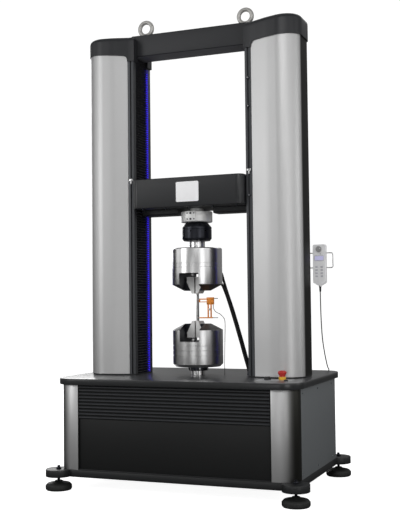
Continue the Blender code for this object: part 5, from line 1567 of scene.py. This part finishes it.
@dataclass
class Specimen(Assembly):
    """The flat specimen with the clip-on strain sensor and its cable."""

    middle: float = 0.801
    gauge: float = 0.088
    shade_length: float = 0.060
    shade_ends: tuple[float, float] = (0.8834, 0.6684)

    def build(self) -> None:
        """Builds the specimen, the sensor and the cable."""
        low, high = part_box("specimen")
        self.put("flat_specimen", box(tuple(low), tuple(high), 0.0006), Finishes.STEEL_BRIGHT, "specimen")
        # Near-black strips on the specimen's ends where they sit between the jaws: painted shade
        shade_strips = [box((low.x + 0.0002, low.y - 0.0007, end),
                    (high.x - 0.0002, low.y + 0.001, end + self.shade_length), 0.0002) for end in self.shade_ends]
        self.put("specimen_tabs", joined(*shade_strips), Finishes.PAINTED_SHADE_BLACK)
        self._sensor()
        self._cable()

    def _sensor(self) -> None:
        """Two arms, a block, two legs with a spool, two rods and the knife edges."""
        high, low = self.middle + self.gauge / 2, self.middle - self.gauge / 2
        y0, y1 = AXIS_Y - 0.004, AXIS_Y + 0.004
        near = 0.0037
        parts = [
            box((0.046, AXIS_Y - 0.006, high - 0.028), (0.080, AXIS_Y + 0.006, high + 0.0055), 0.0015),
            box((near + 0.004, y0, high - 0.0055), (0.050, y1, high), 0.0008),
            box((near + 0.004, y0, high - 0.0175), (0.050, y1, high - 0.0135), 0.0008),
            box((near + 0.004, y0, high - 0.0175), (near + 0.008, y1, high), 0.0008),
            box((near + 0.004, y0, low - 0.0027), (0.074, y1, low + 0.0027), 0.001),
            box((0.0488, y0 + 0.001, low), (0.0548, y1 - 0.001, high - 0.010), 0.001),
            box((0.063, y0 + 0.001, low), (0.069, y1 - 0.001, high - 0.010), 0.001),
        ]
        self.put("sensor_body", joined(*parts), Finishes.ORANGE, "extensometer")
        spool = turned([(0.0048, 0.0058, 0.001), (0.0048, 0.0, 0.001)], "-Y",
                       (0.0588, AXIS_Y + 0.003, self.middle - 0.006), 24, 2)
        self.put("sensor_spool", spool, Finishes.STEEL_BRIGHT)
        rods = [laid(disc(0.0019, 0, 0.026, sides=16), "X", (0.0735, AXIS_Y, height))
                for height in (high, low)]
        self.put("sensor_rods", joined(*rods), Finishes.STEEL_BRIGHT)
        edges = [box((near, y0 - 0.001, height - 0.0022), (near + 0.006, y1 + 0.001, height + 0.0022),
                     0.0006) for height in (high - 0.003, low)]
        self.put("knife_edges", joined(*edges), Finishes.STEEL_BRIGHT)
        screw = socket_screw(0.0018, "-Y", (0.0525, AXIS_Y - 0.0058, high - 0.004))
        self.rows("sensor_screws", screw, Finishes.STEEL_DARK, 2, (0.021, 0.0, 0.0), 2, (0.0, 0.0, -0.018))

    def _cable(self) -> None:
        """The cable that hangs from the sensor to the table."""
        end, block = 0.080, self.middle + self.gauge / 2 - 0.028
        way = ((-0.003, 0.0003), (-0.002, 0.018), (0.010, 0.034), (0.030, 0.044), (0.049, 0.064),
               (0.0535, 0.090), (0.052, 0.150), (0.050, 0.230), (0.049, block - 0.525),
               (0.049, block - ON_TABLE))
        route = smooth_route([(end + across, AXIS_Y, block - down) for across, down in way], 0.005)
        obj = self.put("sensor_lead", tube(route, 0.0015), Finishes.CABLE, "sensor_cable")


@dataclass
class Hoses(Assembly):
    """Two air hoses from the table to the upper grip."""

    radius: float = 0.0061
    port_x: float = 0.050
    port: float = Grip.mouth + 0.095
    port_pitch: float = 0.051
    foot: Point = (0.232, AXIS_Y + 0.048, ON_TABLE)
    pitch: Point = (0.004, 0.0145, 0.0)

    def build(self) -> None:
        """Builds both hoses with their end fittings."""
        for index, name in enumerate(("front", "rear")):
            route = self._route(index)
            obj = self.put(f"hose_{name}", tube(route, self.radius), Finishes.HOSE,
                           f"air_hose_{name}", riding=False)
            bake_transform(obj)
            foot = route[-1]
            ferrule = turned([(0.0066, 0.016, 0.001), (0.0066, 0.006, 0), (0.0072, 0.006, 0.0006),
                              (0.0072, 0.0, 0)], "Z", tuple(foot), 24, 2)
            self.put(f"hose_foot_{name}", ferrule, Finishes.STEEL_DARK)

    def _route(self, index: int) -> list[Vector]:
        """One hose's way down, the lower common part in shares of the way from port to foot."""
        shift = (index - 0.5) * Vector(self.pitch)
        foot = Vector(self.foot)
        high = Vector((self.port_x, AXIS_Y + Grip.radius, self.port))
        back = math.sqrt(Grip.radius ** 2 - self.port_x ** 2) + self.radius
        start = Vector((self.port_x, AXIS_Y + back, self.port - (1 - index) * self.port_pitch))
        shares = [(0.285, 0.15, 0.21), (0.477, 0.40, 0.386), (0.70, 0.70, 0.615), (0.90, 0.94, 0.841),
                  (0.995, 1.0, 0.955), (1.0, 1.0, 1.0)]
        if index == 1:
            shares.insert(0, (0.17, -0.03, 0.100))
        way = [shift + high + Vector(share) * (foot - high) for share in shares]
        return smooth_route([start, start + Vector((0.020, 0.0143, -0.010)), *way], 0.008)


@dataclass
class LowerMount(Assembly):
    """The adapter between the lower grip and the table."""

    top: float = 0.5347

    def build(self) -> None:
        """Builds the adapter's stem and ring."""
        top, ring_low = self.top, self.top - 0.018
        profile = rounded_profile([
            (0.0203, 0.5225, 0), (0.0203, top, 0), (0.044, top, 0.001), (0.046, top - 0.003, 0.001),
            (0.046, ring_low + 0.002, 0.001), (0.044, ring_low, 0.001), (0.031, ring_low, 0),
            (0.031, ON_TABLE, 0),
        ], 2)
        adapter = self.put("adapter", lathe(profile), Finishes.STEEL_BRIGHT, "lower_adapter")
        adapter.data.materials.append(Finishes.STEEL_DARK.material())
        for face in adapter.data.polygons:
            if face.center.z > ring_low - 0.0005:
                face.material_index = 1
        notch = box((0.044, AXIS_Y - 0.003, top - 0.014), (0.0462, AXIS_Y + 0.003, top - 0.004), 0.0005)
        self.round("adapter_notches", notch, Finishes.STEEL_BRIGHT, 6, (0.0, AXIS_Y, 0.0))


# Controls and pendant


@dataclass
class Controls(Assembly):
    """The panel on the tabletop: emergency stop, power switch and key switch."""

    table: float = Cabinet.table_high
    stop: tuple[float, float] = (0.452, AXIS_Y - 0.168)
    knob: tuple[float, float] = (0.386, AXIS_Y - 0.168)

    def build(self) -> None:
        """Builds the panel and its controls."""
        plate = prism(rectangle((0.350, AXIS_Y - 0.236), (0.500, AXIS_Y - 0.132), 0.010, 8), self.table,
                      self.table + 0.0002)
        self.put("control_plate", plate, Finishes.CONTROL_GREY)
        self._emergency_stop()
        self._power_knob()
        x, y = 0.484, AXIS_Y - 0.222
        lock = joined(
            lathe(rounded_profile([(0.008, self.table + 0.006, 0.0015), (0.0095, self.table, 0)], 2),
                  (x, y), 32),
            box((x - 0.0008, y - 0.0045, self.table + 0.005),
                (x + 0.0008, y + 0.0045, self.table + 0.0068)),
        )
        self.put("key_switch", lock, Finishes.PLASTIC_BLACK)

    def _emergency_stop(self) -> None:
        """Yellow collar and red mushroom head with its grip flutes."""
        low = ON_TABLE
        collar = rounded_profile([
            (0.0131, low + 0.0049, 0), (0.0131, low + 0.0135, 0.0004), (0.0155, low + 0.0135, 0.0008),
            (0.0155, low, 0.0005),
        ], 2)
        self.put("stop_ring", lathe(collar, self.stop, 48), Finishes.YELLOW, "stop_collar")
        top, crown = low + 0.0405, 0.0008
        head = rounded_profile([
            (0.0115, top - crown, 0.006), (0.0194, top - 0.006, 0.004), (0.0188, top - 0.013, 0.003),
            (0.0128, low + 0.0181, 0.001), (0.0128, low + 0.0095, 0),
        ], 5, crown)
        self.put("stop_head", lathe(head, self.stop, 48), Finishes.RED, "stop_button",
                 body=Body.STOP_BUTTON)

    def _power_knob(self) -> None:
        """Black rotary knob with ribs and a pointer line."""
        low = ON_TABLE
        x, y = self.knob
        knob = rounded_profile([
            (0.0112, low + 0.013, 0.0012), (0.0128, low + 0.01, 0.001), (0.0146, low + 0.005, 0.0005),
            (0.0146, low, 0),
        ], 2)
        self.put("knob_body", lathe(knob, self.knob, 48), Finishes.PLASTIC_BLACK, "power_knob",
                 body=Body.POWER_KNOB)
        rib = box((x + 0.0125, y - 0.0008, low + 0.0006), (x + 0.0149, y + 0.0008, low + 0.0052), 0.0003)
        self.round("knob_ribs", rib, Finishes.PLASTIC_BLACK, 24, (x, y, 0.0), body=Body.POWER_KNOB)
        mark = box((x - 0.0006, y - 0.0105, low + 0.0126), (x + 0.0006, y - 0.003, low + 0.01305))
        self.put("knob_mark", mark, Finishes.HANDSET, body=Body.POWER_KNOB)


@dataclass
class Pendant(Assembly):
    """The handset on its wire bracket, with its cord."""

    x: float = 0.544
    top: float = 1.084
    width: float = 0.060
    length: float = 0.186
    depth: float = 0.024
    front: float = AXIS_Y + 0.1252
    tip: float = 0.013
    wire: float = 0.0025
    bracket_z: float = 1.0125
    bracket_half: float = 0.0335
    bracket_left: float = 0.440
    bracket_right: float = 0.601
    socket_z: float = 0.315

    def build(self) -> None:
        """Builds the housing, its face, the jog wheel, the bracket and the cord."""
        self._housing()
        self._face()
        self._jog_wheel()
        self._bracket()
        self._cord()

    def _housing(self) -> None:
        """The moulded shell with its hook behind and the cord's boot below."""
        half, low = self.width / 2, self.top - self.length
        right = [(0.008, low, 0.003), (half, low + self.tip, 0.008), (half, self.top, 0.008)]
        left = [(-x, z, radius) for x, z, radius in reversed(right)]
        outline = fillet([(self.x + x, z, radius) for x, z, radius in left + right], 8)
        shell = eased(prism(outline, self.front, self.front + self.depth, "Y"), 0.003, 4, 60)
        self.put("handset_shell", shell, Finishes.HANDSET, "handset")
        middle = self.front + self.depth / 2
        boot = rounded_profile([
            (0.0058, low + 0.004, 0), (0.0058, low - 0.006, 0), (0.005, low - 0.008, 0),
            (0.0046, low - 0.016, 0), (0.0034, low - 0.0298, 0.0005),
        ], 2)
        self.put("handset_boot", lathe(boot, (self.x, middle), 32), Finishes.PLASTIC_BLACK)
        ridge = torus(0.0042, 0.0008, "Z", (self.x, middle, low - 0.012), 32)
        self.rows("boot_ridges", ridge, Finishes.PLASTIC_BLACK, 5, (0.0, 0.0, -0.003))
        collar = disc(0.0064, low - 0.005, low + 0.001, (self.x, middle))
        self.put("handset_collar", collar, Finishes.STEEL_BRIGHT)

    def _raised(self, low: Sequence[float], high: Sequence[float], corner: float, proud: float,
                sunk: float = 0.001) -> Solid:
        """A flat area that stands proud of the face, placed from the pendant's middle and top."""
        start = Vector((self.x, self.top))
        outline = rectangle(start + Vector(low), start + Vector(high), corner)
        return prism(outline, self.front - proud, self.front + sunk, "Y")

    def _face(self) -> None:
        """A framed display, a status light and two columns of four keys."""
        face = self.front
        bezel = eased(self._raised((-0.023, -0.075), (0.023, -0.050), 0.003, 0.0006), 0.0003)
        self.put("display_bezel", bezel, Finishes.KEY)
        glass = self._raised((-0.020, -0.072), (0.020, -0.053), 0.001, 0.0009, 0.0)
        self.put("display_glass", glass, Finishes.SCREEN)
        key = eased(self._raised((-0.018, -0.106), (-0.006, -0.098), 0.002, 0.001), 0.0003)
        self.rows("keys", key, Finishes.KEY, 2, (0.024, 0.0, 0.0), 4, (0.0, 0.0, -0.014))
        spot = laid(disc(0.0022, 0, 0.001, sides=20), "-Y", (self.x + 0.006, face, self.top - 0.0435))
        self.put("status_light", spot, Finishes.KEY_DARK)

    def _jog_wheel(self) -> None:
        """The jog wheel, ribbed round its rim, with a finger dimple."""
        at = (self.x, self.front - 0.0003, self.top - 0.022)
        wheel = turned([(0.011, 0.0098, 0.001), (0.013, 0.0086, 0.001), (0.013, 0.0, 0)], "-Y", at, 48,
                       crown=-0.0006)
        self.put("jog_body", wheel, Finishes.KEY_DARK, "jog_wheel", body=Body.JOG_WHEEL)
        x, y, z = at
        rib = box((x + 0.0122, y - 0.0082, z - 0.0007), (x + 0.0134, y - 0.001, z + 0.0007), 0.0003)
        self.round("jog_ribs", rib, Finishes.KEY_DARK, 28, at, (0.0, 1.0, 0.0), body=Body.JOG_WHEEL)
        dimple = laid(disc(0.0022, 0.009, 0.0102, sides=20), "-Y", (x + 0.0065, y, z + 0.003))
        self.put("jog_dimple", dimple, Finishes.HANDSET, body=Body.JOG_WHEEL)

    def _bracket(self) -> None:
        """The bent wire with its two feet on the cover."""
        back, root = AXIS_Y + 0.152, AXIS_Y + 0.0983
        high, low = self.bracket_z + self.bracket_half, self.bracket_z - self.bracket_half
        left, right, bend = self.bracket_left, self.bracket_right, 0.010
        corners = [Vector(point) for point in (
            (left, root, high), (left, back, high), (right, back, high), (right, back, low),
            (left, back, low), (left, root, low),
        )]
        route = [corners[0]]
        for before, here, after in zip(corners, corners[1:], corners[2:]):
            start = here + (before - here).normalized() * bend
            end = here + (after - here).normalized() * bend
            route += [(1 - t) ** 2 * start + 2 * t * (1 - t) * here + t * t * end
                      for t in (step / 10 for step in range(11))]
        route.append(corners[-1])
        self.put("bracket_wire", tube(route, self.wire), Finishes.STEEL_BRIGHT, "handset_bracket")
        for level, height in (("high", high), ("low", low)):
            foot = turned([(0.008, 0.002, 0.0008), (0.008, 0, 0)], "Y", (left, root - 0.0002, height),
                          steps=2)
            self.put(f"bracket_foot_{level}", foot, Finishes.STEEL_BRIGHT)

    def _cord(self) -> None:
        """The cord that hangs from the pendant and goes over the table's rear edge to its socket."""
        boot = self.top - self.length - 0.030
        y = self.front + self.depth / 2
        rear, x = Cabinet.depth / 2, self.x
        edge = rear + Cabinet.overhang
        route = smooth_route([
            (x, y, boot - 0.0003), (x, y + 0.001, boot - 0.040), (x - 0.003, y + 0.018, boot - 0.120),
            (x - 0.010, y + 0.063, boot - 0.210), (x - 0.021, y + 0.143, boot - 0.285),
            (x - 0.033, edge - 0.050, 0.517), (x - 0.040, edge + 0.002, 0.499),
            (x - 0.046, edge + 0.014, 0.465), (x - 0.060, edge + 0.014, 0.405),
            (x - 0.080, edge + 0.010, 0.345), (x - 0.092, rear + 0.012, self.socket_z),
        ], 0.006)
        route.append(Vector((x - 0.092, rear + 0.0003, self.socket_z)))
        obj = self.put("handset_lead", tube(route, 0.0025), Finishes.CABLE, "handset_cord")


@dataclass
class Drive(Assembly):
    """Finishes of the drive, which stays inside the cabinet."""

    def build(self) -> None:
        """Paints the bearing beam, motor, pulley and belt."""
        paint_node("bearing_beam", Finishes.CAST_BLACK)
        paint_node("servo_motor", Finishes.PLASTIC_BLACK)
        paint_node("motor_pulley", Finishes.STEEL_BRIGHT)
        paint_node("drive_belt", Finishes.HOSE)


# Studio


@dataclass(frozen=True)
class View:
    """The photograph's camera.

    Attributes:
        place: Where it stands.
        yaw: Its turn to the left of straight ahead, in radians.
        pitch: Its upward tilt.
        roll: Its turn about its own line of sight.
        lens: Its focal length in millimetres.
        sensor: The width of its sensor in millimetres.
        reach: How far it sees.
    """

    place: Point = (1.630, -4.066, 0.830)
    yaw: float = 0.3819
    pitch: float = 0.0444
    roll: float = -0.0109
    lens: float = 65.2
    sensor: float = 36.0
    reach: float = 60.0

    def build(self) -> Piece:
        """Creates the camera and makes it the scene's."""
        level = math.radians(90)
        turn = Matrix.Rotation(self.yaw, 4, "Z") @ Matrix.Rotation(level + self.pitch, 4, "X")
        turn @= Matrix.Rotation(self.roll, 4, "Z")
        data = bpy.data.cameras.new("camera")
        data.lens = self.lens
        data.sensor_width = self.sensor
        data.clip_end = self.reach
        camera = shown("camera", data)
        camera.matrix_world = Matrix.Translation(self.place) @ turn
        bpy.context.scene.camera = camera
        return camera


@dataclass(frozen=True)
class Softbox:
    """A rectangular soft light.

    Attributes:
        name: Its name.
        at: Where its middle is.
        towards: The point that it faces.
        size: Its width and height.
        power: Its power in watts.
    """

    name: str
    at: Point
    towards: Point
    size: tuple[float, float]
    power: float

    def build(self) -> Piece:
        """Creates the light."""
        data = bpy.data.lights.new(self.name, "AREA")
        data.shape = "RECTANGLE"
        data.size, data.size_y = self.size
        data.energy = self.power
        light = shown(self.name, data)
        light.location = self.at
        aim = Vector(self.towards) - Vector(self.at)
        light.rotation_euler = aim.to_track_quat("-Z", "Y").to_euler()
        return light


class Level(Enum):
    """A row of lights on the ring: its height, the height that they face and how tall they are."""

    LOW = (0.5, 0.6, 0.8)
    MIDDLE = (1.7, 1.1, 1.6)
    HIGH = (3.4, 1.1, 1.8)


def ring_light(name: str, bearing: float, level: Level, power: float) -> Softbox:
    """A light on a ring round the machine, by its bearing in degrees, 0 in front and 90 at its right."""
    radius, width = 5.0, 1.7
    height, aim, tall = level.value
    turn = math.radians(bearing)
    return Softbox(name, (radius * math.sin(turn), -radius * math.cos(turn), height), (0.0, 0.0, aim),
                   (width, tall), power)


class Studio:
    """Plain pale floor, white background and soft lights in a dim room."""

    room = 0.20
    sky = 1.05
    floor_half = 14.0
    floor_seen = 0.74
    floor_in_bounces = 0.55
    floor_in_reflections = 0.16
    floor_glow = 0.93
    lights = (
        ring_light("left_high", -75, Level.HIGH, 5.0),
        ring_light("left_middle", -75, Level.MIDDLE, 7.0),
        ring_light("front_left_high", -42, Level.HIGH, 11.0),
        ring_light("front_left_middle", -42, Level.MIDDLE, 29.0),
        ring_light("front_left_inner", -28, Level.HIGH, 12.0),
        ring_light("front_low", 0, Level.LOW, 9.5),
        ring_light("front_high", 15, Level.HIGH, 29.0),
        ring_light("front_right_high", 30, Level.HIGH, 14.0),
        ring_light("right_high", 45, Level.HIGH, 6.5),
        ring_light("right_middle", 45, Level.MIDDLE, 11.5),
        ring_light("right_low", 45, Level.LOW, 12.0),
        ring_light("side_high", 70, Level.HIGH, 10.0),
        ring_light("side_middle", 70, Level.MIDDLE, 7.0),
        ring_light("rear_right_high", 100, Level.HIGH, 6.0),
        ring_light("rear_right_middle", 100, Level.MIDDLE, 20.0),
        Softbox("top", (0.0, -0.4, 4.9), (0.0, 0.0, 0.0), (3.0, 3.0), 7.0),
        Softbox("rear_high", (0.0, 3.0, 4.0), (0.0, 0.0, 0.5), (3.0, 2.0), 20.0),
        Softbox("rear_left", (-3.4, 3.7, 2.4), (0.0, 0.0, 1.0), (2.0, 2.4), 55.0),
    )

    def build(self) -> None:
        """Builds the floor, the room and the lights."""
        self._floor()
        self._room()
        for light in self.lights:
            light.build()
        scene = bpy.context.scene
        scene.view_settings.view_transform = "Standard"
        scene.view_settings.look = "None"

    def _floor(self) -> None:
        """A large plane: white with its shadows to the camera, dim in reflections."""
        bm = bmesh.new()
        bmesh.ops.create_grid(bm, x_segments=1, y_segments=1, size=self.floor_half)
        mesh = meshed("floor", bm)
        material = bpy.data.materials.new("floor_white")
        material.use_nodes = True
        graph = Graph(material.node_tree)
        shader = material.node_tree.nodes["Principled BSDF"]
        rays = graph.add("ShaderNodeLightPath")
        seen = graph.sum_of("MULTIPLY_ADD", rays.outputs["Is Camera Ray"], self.floor_seen)
        seen.node.inputs[2].default_value = self.floor_in_reflections
        tone = graph.sum_of("MULTIPLY_ADD", rays.outputs["Is Diffuse Ray"], self.floor_in_bounces)
        graph.tree.links.new(seen, tone.node.inputs[2])
        graph.tree.links.new(tone, shader.inputs["Base Color"])
        graph.tree.links.new(graph.sum_of("MULTIPLY", rays.outputs["Is Camera Ray"], self.floor_glow),
                             shader.inputs["Emission Strength"])
        shader.inputs["Emission Color"].default_value = (1.0, 1.0, 1.0, 1.0)
        shader.inputs["Roughness"].default_value = 1.0
        shader.inputs["Specular IOR Level"].default_value = 0.0
        mesh.materials.append(material)
        floor = shown("floor", mesh)

    def _room(self) -> None:
        """White to the camera, dim to everything else."""
        world = bpy.data.worlds.new("studio")
        world.use_nodes = True
        bpy.context.scene.world = world
        graph = Graph(world.node_tree)
        background = world.node_tree.nodes["Background"]
        rays = graph.add("ShaderNodeLightPath")
        level = graph.add("ShaderNodeMapRange", {
            "Value": rays.outputs["Is Camera Ray"], "To Min": self.room, "To Max": self.sky,
        })
        background.inputs["Color"].default_value = (1.0, 1.0, 1.0, 1.0)
        graph.tree.links.new(level.outputs["Result"], background.inputs["Strength"])


def main() -> None:
    """Builds the machine and its studio."""
    logging.basicConfig(level=logging.INFO)
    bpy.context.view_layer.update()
    rules = Rules()
    assemblies = [
        Cabinet(rules),
        *[Column(rules, side, word) for side, word in SIDES],
        Top(rules),
        Crosshead(rules),
        LoadTrain(rules),
        Grip(rules),
        Grip(rules, "lower", 0.7300, -1, Body.FRAME),
        Specimen(rules),
        Hoses(rules),
        LowerMount(rules),
        Controls(rules),
        Pendant(rules),
        Drive(rules),
    ]
    for assembly in assemblies:
        LOG.info("building %s", type(assembly).__name__)
        assembly.build()
    View().build()
    Studio().build()


if __name__ == "__main__":
    main()
